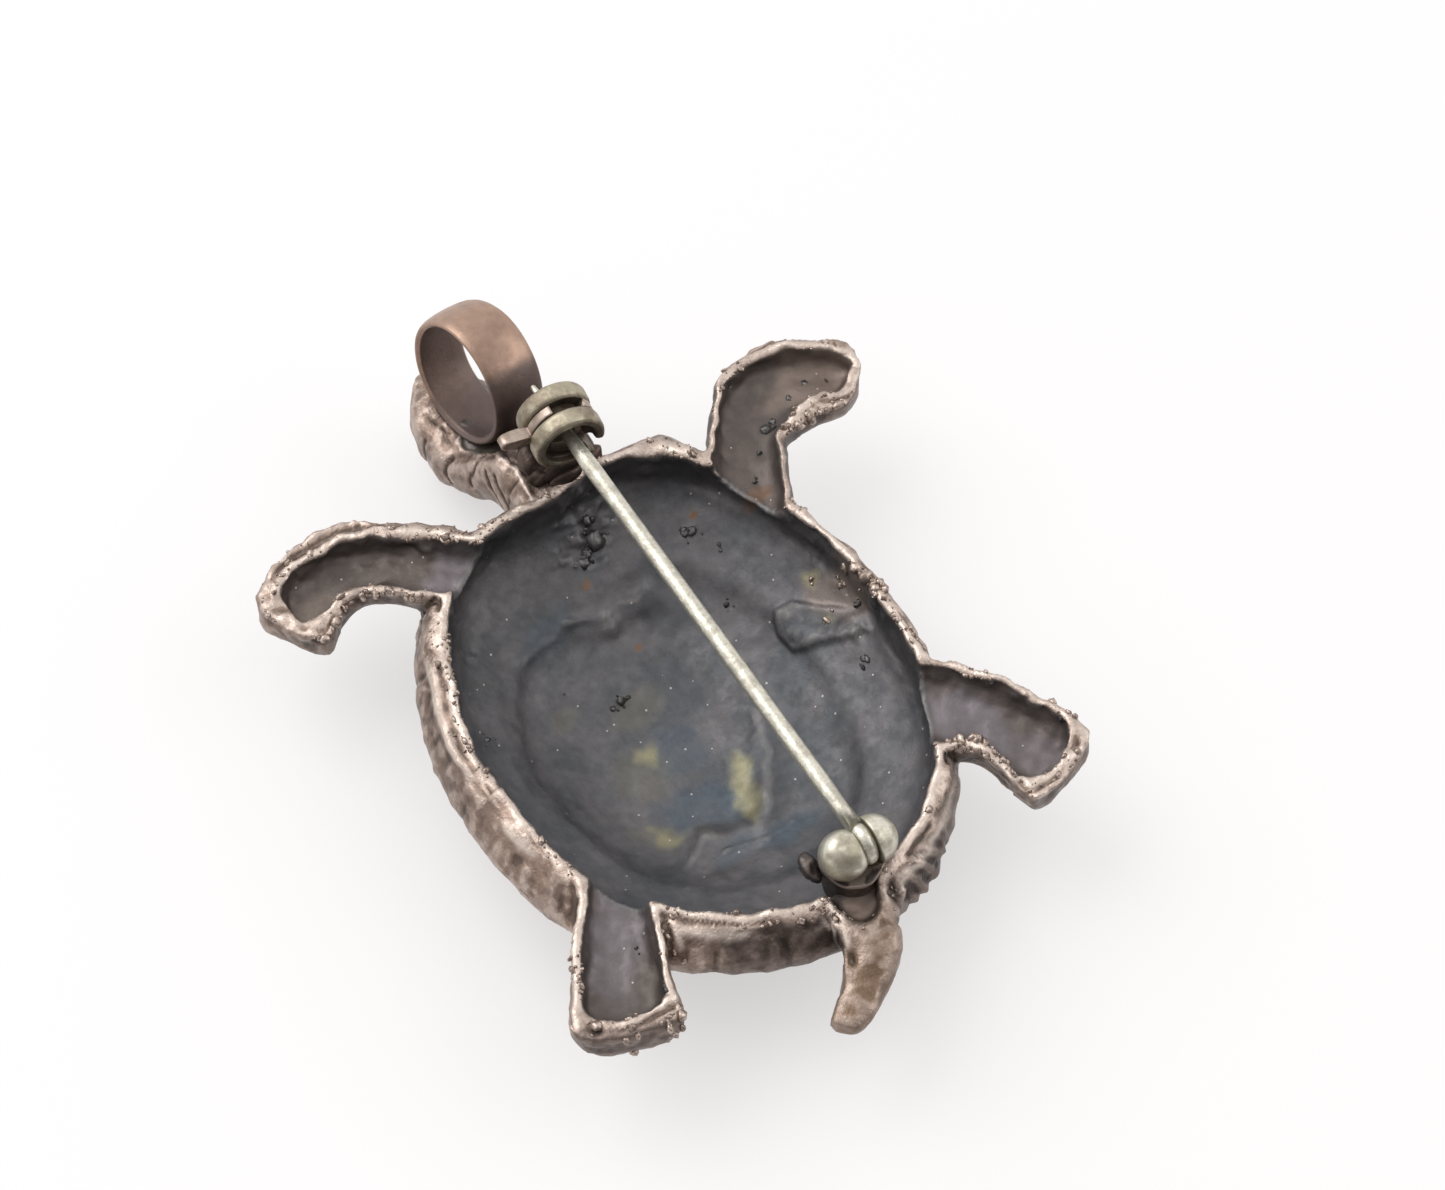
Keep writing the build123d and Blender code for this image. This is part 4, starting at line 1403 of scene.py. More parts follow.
# Joint: sideways place and side of each ball cheek, distance of their flat sides from the middle, and
# profiles of the seat and of a neck as radius and height, in mm
CHEEKS = ((-1.02, -1), (0.48, 1))
CHEEK_FLAT = 0.38
SEAT_PROFILE = (
    (1.0, -2.6), (1.2, -2.4), (1.4, -1.0), (1.42, -0.1), (1.5, 0.02), (1.5, 0.14), (1.38, 0.2), (0.6, 0.1),
)
NECK_PROFILE = ((0.75, -1.3), (0.62, -0.9), (0.6, -0.4))

# Place of the seat from the joint's middle in the plan, and of a spill of solder from the seat, in mm
SEAT_SHIFT = (-0.4, 0.25)
SPILL_SHIFT = (-1.6, 0.9, -0.55)

# Stem: height of its line over the rivet, reach beyond the catch's middle and radius of its eye, in mm
STEM_LIFT = 0.5
STEM_BEYOND = 2.55
EYE_RADIUS = 0.7

# Catch: radius and offset along its axis of a disc's section, with its two kinds of face, in mm
DISC_RIM = (
    (0.86, -0.475), (1.58, -0.475), (1.71, -0.39), (1.76, -0.26), (1.76, 0.26), (1.71, 0.39), (1.58, 0.475),
)
DISC_RECESS = ((1.4, 0.475), (1.28, 0.4), (1.24, 0.1), (1.12, 0.04), (0.86, 0.04))
DISC_PLAIN = ((0.86, 0.475),)
DISC_SPREAD = 0.775
CORE_SECTION = ((0.86, -0.5), (1.12, -0.5), (1.12, 0.5), (0.86, 0.5))

# Degrees round the catch's axis: its mouth, half the mouth's width in a disc and in the core, the roller's
# slit, half the slit's width, and the lever
MOUTH_TURN, DISC_GAP, CORE_GAP = -30.0, 17.5, 24.0
SLIT_TURN, SLIT_HALF, LEVER_TURN = 73.0, 33.0, 172.0

# Roller: outer and inner radius of its sleeve, half the lever's thickness and the lever's length, in mm
SLEEVE_OUTER, SLEEVE_INNER, LEVER_HALF, LEVER_LENGTH = 1.66, 1.17, 0.31, 3.1


def direction(degrees):
    """Unit vector in the plan at an angle from +X."""
    return np.array([math.cos(math.radians(degrees)), math.sin(math.radians(degrees)), 0.0])


def ring_about(centre, axis, angle, radius, offset):
    """Points at angles and radii about an axis, with an offset along it.

    The angle counts from the axis's own level direction towards +Z.
    """
    axis = np.asarray(axis, float)
    level = np.cross((0.0, 0.0, 1.0), axis)
    level = level / np.linalg.norm(level)
    up = np.cross(axis, level)
    out = np.cos(angle)[..., None] * level + np.sin(angle)[..., None] * up
    return np.asarray(centre, float) + radius[..., None] * out + offset[..., None] * axis


def rounded_square(half, corner, per_corner):
    """Points of a square with round corners."""
    turn = np.linspace(0, np.pi / 2, per_corner)
    points = []
    for n, (sx, sy) in enumerate(((1, 1), (-1, 1), (-1, -1), (1, -1))):
        a = turn + n * np.pi / 2
        x = sx * (half - corner) + corner * np.cos(a)
        points.append(np.stack([x, sy * (half - corner) + corner * np.sin(a)], axis=1))
    return np.vstack(points)


def bail_ring(s):
    """Bail: a ribbon carried round a circle, domed outside and nearly flat inside."""
    angle = np.linspace(0, 2 * np.pi, 160, endpoint=False)[:, None]
    outline = curve_linear(BAIL_SECTION, 56)
    across = outline[None, :, 0] * s["bail_width"] / 2 + 0 * angle
    front = between(np.cos(angle), -0.1, 0.75)
    across = across * (1 - 0.12 * front * (outline[None, :, 0] > 0))
    radius = s["bail_radius"] - 0.25 + 0.25 * outline[None, :, 1] + 0 * angle
    flat = np.stack([np.cos(angle) * 3 + 0 * across, np.sin(angle) * 3 + 0 * across, across], axis=-1)
    wear = layered(flat.reshape(-1, 3), 1.6, 5, 3).reshape(across.shape)
    radius = radius + 0.03 * wear - 0.03
    lean = math.radians(BAIL_LEAN)
    axis = direction(BAIL_TURN) * math.cos(lean) - np.array([0.0, 0.0, math.sin(lean)])
    x, ahead, lift = BAIL_PLACE
    centre = (x, s["half_length"] + ahead, s["depth"] - s["head_drop"] + s["bail_radius"] + lift)
    rings = ring_about(centre, axis, angle + 0 * across, radius, across * 0.985)
    piece = solid("bail", [tube(rings, closed_rows=True)])
    points = points_of(piece)
    normals = normals_of(piece, points)
    away = points - centre
    inner = between(-np.einsum("ij,ij->i", normals, away) / s["bail_radius"], 0.2, 0.6)
    # painted shade: the bail's inner face, and its lower part on the -Y side
    low = -0.6 * away[:, 2] - 0.8 * (away @ direction(BAIL_TURN + 90)) + 0.5 * layered(points, 1.4, 6, 3)
    store(piece, "shade", np.maximum(0.76 * inner, 0.85 * between(low, 0.0, 0.7)))
    return piece


def lumps(centre, table, seed, rows, columns, uneven):
    """Uneven lumps at a table's places about a centre, each with its own seed."""
    return [
        lump(np.array(centre) + (x, y, z), sizes, seed + n, rows, columns, uneven)
        for n, (x, y, z, sizes) in enumerate(table)
    ]


def bail_solder(s):
    """Solder that holds the bail: low uneven lumps on the head's back."""
    x, ahead, lift = BAIL_SOLDER_PLACE
    centre = (x, s["half_length"] + ahead, s["depth"] - s["head_drop"] + lift)
    return lumps(centre, BAIL_LUMPS, 41, 12, 18, 0.2)


def ball(centre, radius, flat, side, rows=26, columns=48):
    """Ball cheek: a ball whose inner side is cut flat.

    The profile runs from the outer pole along the ball and in over the flat's edge.
    """
    reach_in = abs(flat - centre[0])
    edge = math.acos(min(1.0, reach_in / radius)) if (flat - centre[0]) * side < 0 else math.pi / 2
    v = np.linspace(0.05, math.pi - edge, rows)
    x = centre[0] + side * radius * np.cos(v)
    r = radius * np.sin(v)
    x = np.concatenate([x, [flat, flat]])[:, None]
    r = np.concatenate([r, [r[-1] * 0.9, r[-1] * 0.3]])[:, None]
    u = np.linspace(0, 2 * np.pi, columns, endpoint=False)[None, :]
    return tube(np.stack([x + 0 * u, centre[1] + r * np.cos(u), centre[2] + r * np.sin(u)], axis=-1))


def joint_centre(s):
    """Middle of the joint's rivet, in mm."""
    x, ahead, lift = JOINT_PLACE
    return np.array([x, ahead - s["half_length"], s["depth"] + lift])


def catch_centre(s):
    """Middle of the catch, in mm."""
    x, ahead, lift = CATCH_PLACE
    return np.array([x, s["half_length"] + ahead, s["depth"] + lift])


def joint_piece(s):
    """Joint: two ball cheeks on short necks, and the round seat under them."""
    centre = joint_centre(s)
    u = np.linspace(0, 2 * np.pi, 64, endpoint=False)[None, :]
    balls, necks = [], []
    r, height = np.hsplit(np.array(NECK_PROFILE), 2)
    for spread, side in CHEEKS:
        balls.append(ball(centre + (spread, 0, 0), s["ball_radius"], centre[0] + side * CHEEK_FLAT, side))
        x = centre[0] + spread + r * np.cos(u) * 0.9
        necks.append(tube(np.stack([x, centre[1] + r * np.sin(u), centre[2] + height + 0 * u], axis=-1)))
    seat = centre[:2] + SEAT_SHIFT
    r, height = np.hsplit(curve_through(SEAT_PROFILE, 40), 2)
    r = r * (1 + 0.03 * np.sin(3 * u + 1) + 0.015 * np.sin(7 * u))
    height = s["depth"] + height + 0.03 * np.sin(5 * u + 2)
    rings = np.stack([seat[0] + r * np.cos(u), seat[1] + r * np.sin(u), height], axis=-1)
    spill = np.array([*seat, s["depth"]]) + SPILL_SHIFT
    return balls + necks, [tube(rings), lump(spill, (0.5, 0.75, 0.5), 51, 16, 24, 0.4)]


def stem_line(s):
    """Start, direction and length of the stem's straight run."""
    a, b = joint_centre(s), catch_centre(s)
    start = a + (0, 0, STEM_LIFT)
    run = b - start
    return start, run / np.linalg.norm(run), float(b[1] - a[1]) + STEM_BEYOND


def stem(s):
    """Pin stem: a profile carried along a line from the point to the joint and round the rivet.

    The profile is round on the wire and a flat oval on the eye.
    """
    start, along, length = stem_line(s)
    centre = joint_centre(s)
    wire = s["wire_radius"]
    # from the point back to the joint, with a nick before it
    tip = [0.0, 0.02, 0.06, 0.14]
    t = np.concatenate([tip, np.linspace(0.4, 5.0, 12), np.linspace(5.6, length - 1.4, 60)])
    line = start + along * (length - t)[:, None]
    size = np.interp(t, tip + [5.0, 99], [0.03, 0.07, 0.11, 0.14, wire, wire])
    size = size + 0.006 * noise(line, 2.2, 3)
    size = size * (1 - 0.16 * bell(length - t, 2.9, 0.25))
    line = line[line[:, 1] > centre[1] + 1.5]
    # round the rivet, over it, down its back and under
    a = np.radians(np.linspace(50, 385, 56))
    wrap = centre + EYE_RADIUS * np.stack([0 * a, np.cos(a), np.sin(a)], axis=1)
    path = np.vstack([line, wrap])
    tangent = np.gradient(path, axis=0)
    tangent /= np.linalg.norm(tangent, axis=1)[:, None]
    side = np.array([1.0, 0.0, 0.0])
    up = np.cross(tangent, side)
    up /= np.linalg.norm(up, axis=1)[:, None]
    last = len(line)
    flat = np.concatenate([np.zeros(last), fade(np.linspace(0.0, 3.0, len(wrap)))])
    even = np.concatenate([size[:last], np.full(len(wrap), wire)])
    half_x = even * (1 - flat) + 0.34 * flat
    half_r = even * (1 - flat) + 0.24 * flat
    half_x[last - 5 : last] = np.linspace(half_x[last - 6], 0.36, 5)
    u = np.linspace(0, 2 * np.pi, 28, endpoint=False)[None, :]
    sideways = side * (half_x[:, None] * np.cos(u))[..., None]
    upwards = up[:, None, :] * (half_r[:, None] * np.sin(u))[..., None]
    return solid("pin_wire", [tube(path[:, None, :] + sideways + upwards)])


def catch_frame(s):
    """Centre and axis of the catch, the axis pointing to the joint."""
    turn = math.radians(CATCH_TURN)
    return catch_centre(s), -np.array([math.sin(turn), math.cos(turn), 0.0])


def round_mouth(gap, count):
    """Angles round the catch's axis from one side of its mouth to the other, as a column."""
    return np.linspace(math.radians(MOUTH_TURN + gap), math.radians(MOUTH_TURN + 360 - gap), count)[:, None]


def catch_disc(s, middle, face):
    """Disc of the catch: a rounded section carried round the axis, open at the mouth."""
    centre, axis = catch_frame(s)
    outline = curve_linear(DISC_RIM + face, 72)
    a = round_mouth(DISC_GAP, 110)
    radius = outline[None, :, 0] * s["disc_radius"] / 1.76 + 0 * a
    offset = middle + outline[None, :, 1] + 0 * a
    flat = np.stack([np.cos(a) * radius, np.sin(a) * radius, offset], axis=-1).reshape(-1, 3)
    radius = radius + 0.02 * layered(flat, 0.9, 13, 3).reshape(radius.shape) - 0.01
    return tube(ring_about(centre, axis, a + 0 * radius, radius, offset))


def catch_core(s):
    """Core of the catch between its discs, split at the mouth."""
    centre, axis = catch_frame(s)
    outline = curve_linear(CORE_SECTION, 16)
    a = round_mouth(CORE_GAP, 60)
    radius, offset = outline[None, :, 0] + 0 * a, outline[None, :, 1] + 0 * a
    return tube(ring_about(centre, axis, a + 0 * radius, radius, offset))


def catch_piece(s):
    """Catch housing: two discs and a split core, with painted shade in the recess, on the core between the
    discs and on the lower side towards the foot.
    """
    discs = [catch_disc(s, DISC_SPREAD, DISC_RECESS), catch_disc(s, -DISC_SPREAD, DISC_PLAIN)]
    piece = solid("catch_housing", discs + [catch_core(s)])
    centre, axis = catch_frame(s)
    points = points_of(piece)
    away = points - centre
    offset = away @ axis
    radius = np.linalg.norm(away - offset[:, None] * axis, axis=1)
    # painted shade in the recess and on the core between the discs, and on the lower side
    recess = between(offset, -0.4, 0.9) * (radius < 1.42) * between(-radius, -1.42, -1.2)
    recess = recess + (np.abs(offset) < 0.31)
    low = between(-away[:, 2], 0.3, 1.6)
    shade = np.maximum(recess, 0.8 * low) + 0.3 * layered(points, 0.8, 66, 3)
    store(piece, "shade", np.clip(shade, 0, 1))
    return piece


def catch_foot(s):
    """Solder and foot of the catch: uneven lumps under its discs and to its left."""
    return lumps(catch_centre(s), FOOT_LUMPS, 31, 20, 30, 0.26)


def roller(s):
    """Roller: a split sleeve whose outer radius swells into a straight lever with a round tip.

    At an angle b from the lever's middle the outer radius is half the lever's thickness over sin b, and no
    more than the lever's length less what the round tip takes.
    """
    centre, axis = catch_frame(s)
    start, end = math.radians(SLIT_TURN + SLIT_HALF), math.radians(360 + SLIT_TURN - SLIT_HALF)
    lever = math.radians(LEVER_TURN)
    near = np.linspace(lever - 0.28, lever + 0.28, 60)
    a = np.concatenate([np.linspace(start, lever - 0.3, 14), near, np.linspace(lever + 0.3, end, 60)])
    across = np.sin(np.minimum(np.abs(a - lever), 1.5))
    tip = LEVER_LENGTH - LEVER_HALF + np.sqrt(np.maximum(LEVER_HALF**2 - (3.0 * across) ** 2, 0))
    outer = np.minimum(LEVER_HALF / np.maximum(across, 1e-4), tip)
    outer = np.maximum(outer, SLEEVE_OUTER)[:, None]
    half = 0.245 + 0.09 * between(outer, 1.8, 2.3)
    shape = rounded_square(1.0, 0.3, 4)
    radius = (outer + SLEEVE_INNER) / 2 + (outer - SLEEVE_INNER) / 2 * shape[None, :, 0]
    offset = half * shape[None, :, 1] + 0 * radius
    rings = ring_about(centre, axis, a[:, None] + 0 * radius, radius, offset)
    return solid("roller", [tube(rings)])


# Materials


def new_group(name, inputs, outputs):
    """Empty shader node group with named inputs and outputs."""
    tree = bpy.data.node_groups.new(name, "ShaderNodeTree")
    for label, kind, value in inputs:
        socket = tree.interface.new_socket(label, in_out="INPUT", socket_type=kind)
        if value is not None:
            socket.default_value = value
    for label, kind in outputs:
        tree.interface.new_socket(label, in_out="OUTPUT", socket_type=kind)
    return tree, tree.nodes.new("NodeGroupInput"), tree.nodes.new("NodeGroupOutput")


def feed(tree, socket, value):
    """Links an output to a socket, or sets the socket's value."""
    if isinstance(value, bpy.types.NodeSocket):
        tree.links.new(value, socket)
    else:
        socket.default_value = value


def add_node(tree, kind, links=(), **values):
    """Node with its settings, and its inputs set to a value or linked to an output."""
    node = tree.nodes.new(kind)
    for key, value in values.items():
        setattr(node, key, value)
    for key, value in links:
        feed(tree, node.inputs[key], value)
    return node


def ramp(tree, source, low, high):
    """Map from low..high to 0..1, smooth and clamped."""
    links = ((0, source), (1, low), (2, high), (3, 0.0), (4, 1.0))
    return add_node(tree, "ShaderNodeMapRange", links, interpolation_type="SMOOTHSTEP").outputs[0]


def mix_colour(tree, factor, first, second, blend="MIX"):
    """Colour that goes from a first to a second by a factor."""
    links = ((0, factor), (6, first), (7, second))
    return add_node(tree, "ShaderNodeMix", links, data_type="RGBA", blend_type=blend).outputs[2]


def maths(tree, operation, first, second=0.0, third=0.0):
    """Output of a maths node."""
    node = add_node(tree, "ShaderNodeMath", ((0, first), (1, second), (2, third)), operation=operation)
    return node.outputs[0]


def mottle_group():
    """Tarnish: patches that shift a colour to a second one, with a finer mottling, and the patches' mask."""
    tree, given, out = new_group(
        "Tarnish mottle",
        (
            ("Scale", "NodeSocketFloat", 400.0),
            ("Colour", "NodeSocketColor", None),
            ("Second colour", "NodeSocketColor", None),
            ("Amount", "NodeSocketFloat", 0.5),
        ),
        (("Colour", "NodeSocketColor"), ("Patches", "NodeSocketFloat")),
    )
    place = tree.nodes.new("ShaderNodeTexCoord").outputs["Object"]
    scale = given.outputs["Scale"]
    links = (("Vector", place), ("Scale", scale), ("Detail", 5.0), ("Roughness", 0.6))
    large = add_node(tree, "ShaderNodeTexNoise", links)
    links = (("Vector", place), ("Scale", maths(tree, "MULTIPLY", scale, 6.0)), ("Detail", 3.0))
    small = add_node(tree, "ShaderNodeTexNoise", links)
    patches = ramp(tree, large.outputs["Fac"], 0.4, 0.62)
    fine = maths(tree, "MULTIPLY_ADD", small.outputs["Fac"], 0.5, 0.75)
    share = maths(tree, "MULTIPLY", patches, given.outputs["Amount"])
    base = mix_colour(tree, share, given.outputs["Colour"], given.outputs["Second colour"])
    shade = add_node(tree, "ShaderNodeCombineXYZ", ((0, fine), (1, fine), (2, fine)))
    colour = mix_colour(tree, 1.0, base, shade.outputs[0], "MULTIPLY")
    tree.links.new(colour, out.inputs["Colour"])
    tree.links.new(patches, out.inputs["Patches"])
    return tree


def grit_group():
    """Cast grit: fine noise and pits as a height."""
    tree, given, out = new_group(
        "Cast grit",
        (("Scale", "NodeSocketFloat", 3000.0), ("Pits", "NodeSocketFloat", 0.5)),
        (("Height", "NodeSocketFloat"),),
    )
    place = tree.nodes.new("ShaderNodeTexCoord").outputs["Object"]
    links = (("Vector", place), ("Scale", given.outputs["Scale"]))
    fine = add_node(tree, "ShaderNodeTexNoise", links + (("Detail", 4.0), ("Roughness", 0.65)))
    cells = add_node(tree, "ShaderNodeTexVoronoi", links)
    pit = ramp(tree, cells.outputs["Distance"], 0.05, 0.45)
    deep = maths(tree, "MULTIPLY", pit, given.outputs["Pits"])
    tree.links.new(maths(tree, "ADD", fine.outputs["Fac"], deep), out.inputs["Height"])
    return tree


def specks_group():
    """Specks: a thin scatter of small bright spots, as a mask."""
    tree, given, out = new_group(
        "Specks",
        (
            ("Scale", "NodeSocketFloat", 1500.0),
            ("Size", "NodeSocketFloat", 0.12),
            ("Share", "NodeSocketFloat", 0.1),
        ),
        (("Mask", "NodeSocketFloat"),),
    )
    place = tree.nodes.new("ShaderNodeTexCoord").outputs["Object"]
    cells = add_node(tree, "ShaderNodeTexVoronoi", (("Vector", place), ("Scale", given.outputs["Scale"])))
    near = maths(tree, "LESS_THAN", cells.outputs["Distance"], given.outputs["Size"])
    split = add_node(tree, "ShaderNodeSeparateColor", ((0, cells.outputs["Color"]),))
    chosen = maths(tree, "LESS_THAN", split.outputs[0], given.outputs["Share"])
    tree.links.new(maths(tree, "MULTIPLY", near, chosen), out.inputs["Mask"])
    return tree


def group_node(tree, name, **inputs):
    """Node of a shared group, with its inputs set or linked by their names."""
    node = tree.nodes.new("ShaderNodeGroup")
    node.node_tree = bpy.data.node_groups[name]
    for key, value in inputs.items():
        feed(tree, node.inputs[key.replace("_", " ").capitalize()], value)
    return node


def rgba(colour):
    """Colour with full alpha."""
    return (*colour, 1.0)


def start_material(name, metallic, roughness):
    """New material, its node tree and its shader."""
    material = bpy.data.materials.new(name)
    material.use_nodes = True
    shader = material.node_tree.nodes["Principled BSDF"]
    shader.inputs["Metallic"].default_value = metallic
    shader.inputs["Roughness"].default_value = roughness
    return material, material.node_tree, shader


def bumped(tree, shader, height, distance, strength):
    """Gives the shader a bump from a height, with its distance in m."""
    links = (("Height", height), ("Distance", distance), ("Strength", strength))
    bump = add_node(tree, "ShaderNodeBump", links)
    tree.links.new(bump.outputs[0], shader.inputs["Normal"])


# Stains of the hollow, and the painted shade of its walls, in the order in which they lie over each other:
# mask, strength, colour
HOLLOW_STAINS_AND_SHADE = (
    # wall: painted shade
    ("wall", 0.3, (0.055, 0.049, 0.043)),
    # warm: brown tone, lighter in the right flipper's channel tip as painted light against its shade
    ("warm", 0.7, (0.34, 0.265, 0.22)),
    ("blue", 0.75, (0.066, 0.1, 0.13)),
    ("faint", 0.42, (0.2, 0.19, 0.13)),
    ("pale", 0.75, (0.3, 0.28, 0.17)),
    ("copper", 0.8, (0.2, 0.1, 0.045)),
)


def toned_silver(finish):
    """Toned cast silver: dark and stained inside with painted shade on the walls, brown outside in painted
    light and shade, painted highlights on the worn crests, dark crevices.
    """
    material, tree, shader = start_material("toned_silver", 0.8, 0.4)

    def mask(name):
        return add_node(tree, "ShaderNodeAttribute", attribute_name=name).outputs["Fac"]

    def times(first, second):
        return maths(tree, "MULTIPLY", first, second)

    def over(below, factor, colour):
        return mix_colour(tree, factor, below, rgba(colour) if isinstance(colour, tuple) else colour)

    def mottled(scale, colour, second, amount):
        colours = {"colour": rgba(colour), "second_colour": rgba(second)}
        return group_node(tree, "Tarnish mottle", scale=scale, amount=amount, **colours)

    inside, worn, lit, rim = mask("inside"), mask("worn"), mask("lit"), mask("rim")
    hollow = mottled(300.0, finish.hollow, (0.085, 0.091, 0.1), 0.8)
    # dark: the shaded copy of the outside's brown, for the painted shade; middle: its lit copy
    dark = mottled(650.0, (0.11, 0.083, 0.072), (0.05, 0.038, 0.033), 0.75)
    middle = mottled(800.0, finish.outside, (0.155, 0.11, 0.089), 0.65)
    light = mottled(1600.0, finish.rim, (0.28, 0.22, 0.185), 0.8)
    raised = ramp(tree, worn, 0.52, 0.8)
    cavity = ramp(tree, worn, 0.48, 0.22)

    # outside: shaded and lit copies of the brown, mixed by the painted light and shade of the lit mask
    skin = over(dark.outputs[0], lit, middle.outputs[0])
    skin = over(skin, mask("warm"), (0.17, 0.112, 0.072))
    # worn high points lighter, more so in the painted light
    skin = over(skin, times(raised, maths(tree, "MULTIPLY_ADD", lit, 0.6, 0.25)), light.outputs[0])
    skin = over(skin, times(rim, 0.75), middle.outputs[0])
    skin = over(skin, times(rim, raised), light.outputs[0])
    # dark crevices of the patina, deeper in the painted shade
    skin = over(skin, times(cavity, maths(tree, "MULTIPLY_ADD", lit, -0.35, 0.85)), (0.035, 0.027, 0.022))
    # painted highlight along the crests
    skin = over(skin, mask("crest_highlight"), (0.66, 0.57, 0.5))

    # inside
    leg = mix_colour(tree, mask("violet"), (0.12, 0.099, 0.09, 1), (0.19, 0.17, 0.182, 1))
    leg = over(leg, times(hollow.outputs["Patches"], 0.35), (0.085, 0.077, 0.07))
    deep = over(hollow.outputs[0], mask("channel"), leg)
    for name, strength, colour in HOLLOW_STAINS_AND_SHADE:
        deep = over(deep, times(mask(name), strength), colour)
    dust = group_node(tree, "Specks", scale=1900.0, size=0.1, share=0.24)
    deep = over(deep, times(dust.outputs[0], 0.6), (0.6, 0.58, 0.55))
    deep = over(deep, times(ramp(tree, worn, 0.6, 0.85), 0.45), (0.2, 0.19, 0.185))

    tree.links.new(mix_colour(tree, inside, skin, deep), shader.inputs["Base Color"])
    rough = add_node(tree, "ShaderNodeMapRange", ((0, inside), (1, 0.0), (2, 1.0), (3, 0.33), (4, 0.5)))
    patch = maths(tree, "MULTIPLY_ADD", light.outputs["Patches"], 0.12, rough.outputs[0])
    tree.links.new(patch, shader.inputs["Roughness"])
    grit = group_node(tree, "Cast grit", scale=4200.0, pits=0.2)
    grain = add_node(tree, "ShaderNodeMapRange", ((0, inside), (1, 0.0), (2, 1.0), (3, 0.8), (4, 0.3)))
    bumped(tree, shader, times(grit.outputs[0], grain.outputs[0]), 0.00006, 0.9)
    return material


# Plain metals: colour (none where a finish gives it), second colour, roughness, scale of the patches and of
# the grit, depth of the grit in m, metallic share, and the colour where the shade mask is high: painted
# shade, and on the seat a painted highlight
METALS = {
    "bead_tarnish": ((0.125, 0.12, 0.12), (0.07, 0.066, 0.064), 0.38, 900.0, 5000.0, 0.00003, 0.8, None),
    "rim_crumb": (None, (0.2, 0.155, 0.13), 0.32, 2500.0, 6000.0, 0.00002, 0.9, None),
    "bail_silver": (None, (0.26, 0.175, 0.135), 0.36, 350.0, 5000.0, 0.00002, 0.9, (0.1, 0.082, 0.084)),
    "dark_solder": ((0.12, 0.105, 0.095), (0.06, 0.055, 0.05), 0.42, 900.0, 5000.0, 0.00003, 0.8, None),
    "joint_nickel": (None, (0.33, 0.3, 0.22), 0.4, 900.0, 4000.0, 0.00002, 0.9, (0.12, 0.085, 0.06)),
    "seat_solder": (
        (0.13, 0.108, 0.1), (0.06, 0.05, 0.046), 0.4, 900.0, 4000.0, 0.00003, 0.85, (0.45, 0.38, 0.32)
    ),
    "rivet_nickel": (None, (0.3, 0.27, 0.2), 0.35, 700.0, 6000.0, 0.00001, 0.9, None),
    "wire_nickel": (None, (0.4, 0.38, 0.32), 0.36, 1600.0, 3600.0, 0.00005, 0.9, None),
    "catch_brass": (None, (0.19, 0.155, 0.115), 0.4, 900.0, 4000.0, 0.00003, 0.9, (0.055, 0.038, 0.03)),
    "foot_solder": ((0.085, 0.06, 0.05), (0.035, 0.026, 0.022), 0.36, 900.0, 4000.0, 0.00004, 0.85, None),
    "lever_brass": ((0.42, 0.34, 0.29), (0.2, 0.16, 0.12), 0.34, 800.0, 5000.0, 0.00002, 0.9, None),
}


def simple_metal(name, finish=None):
    """Metal with mottled colour and fine grit, and a second colour where its shade attribute is high: painted
    shade, on the seat a painted highlight.
    """
    colour, second, roughness, scale, grit_scale, grit_depth, metallic, shade = METALS[name]
    material, tree, shader = start_material(name, metallic, roughness)
    colours = {"colour": rgba(colour or finish), "second_colour": rgba(second)}
    mottle = group_node(tree, "Tarnish mottle", scale=scale, amount=0.8, **colours)
    tone = mottle.outputs[0]
    rough = maths(tree, "MULTIPLY_ADD", mottle.outputs["Patches"], 0.12, roughness)
    if shade:
        share = add_node(tree, "ShaderNodeAttribute", attribute_name="shade").outputs["Fac"]
        ragged = maths(tree, "MULTIPLY_ADD", mottle.outputs["Patches"], -0.25, 1.0)
        ragged = maths(tree, "MULTIPLY", share, ragged)
        tone = mix_colour(tree, ragged, tone, rgba(shade))
        rough = maths(tree, "MULTIPLY_ADD", share, 0.12, rough)
    tree.links.new(tone, shader.inputs["Base Color"])
    tree.links.new(rough, shader.inputs["Roughness"])
    grit = group_node(tree, "Cast grit", scale=grit_scale, pits=0.3)
    bumped(tree, shader, grit.outputs[0], grit_depth, 0.6)
    return material


def dress(piece, body, slot, material, *nodes):
    """Puts a piece on its body, gives it its material and hides the CAD nodes that it stands for."""
    piece.data.materials.clear()
    piece.data.materials.append(material)
    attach(piece, body)
    if nodes:
        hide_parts(*nodes)


def finishes():
    """Settings of the colours."""
    return bpy.context.scene.turtle_finish


class TURTLE_OT_groups(bpy.types.Operator):
    """Builds the shader node groups that the finishes share"""

    bl_idname = "turtle.groups"
    bl_label = "Shared effects"

    def execute(self, context):
        mottle_group()
        grit_group()
        specks_group()
        return {"FINISHED"}


class TURTLE_OT_casting(bpy.types.Operator):
    """Builds the cast turtle with its hollow, legs, tail and head"""

    bl_idname = "turtle.casting"
    bl_label = "Casting"

    def execute(self, context):
        s = sizes_in_mm()
        body, points, masks, edge = casting(s)
        head = cast_head(s)
        material = toned_silver(finishes())
        for piece in (body, head):
            keep_inside(piece, "turtle_casting")
            dress(piece, "brooch", "cast_silver", material, "turtle_casting")
        dark = simple_metal("bead_tarnish")
        bright = simple_metal("rim_crumb", finishes().rim)
        for piece, finish in ((beads(points, masks), dark), (rim_grains(points, masks, edge), bright)):
            keep_inside(piece, "turtle_casting")
            dress(piece, "brooch", "cast_silver", finish, "turtle_casting")
        return {"FINISHED"}


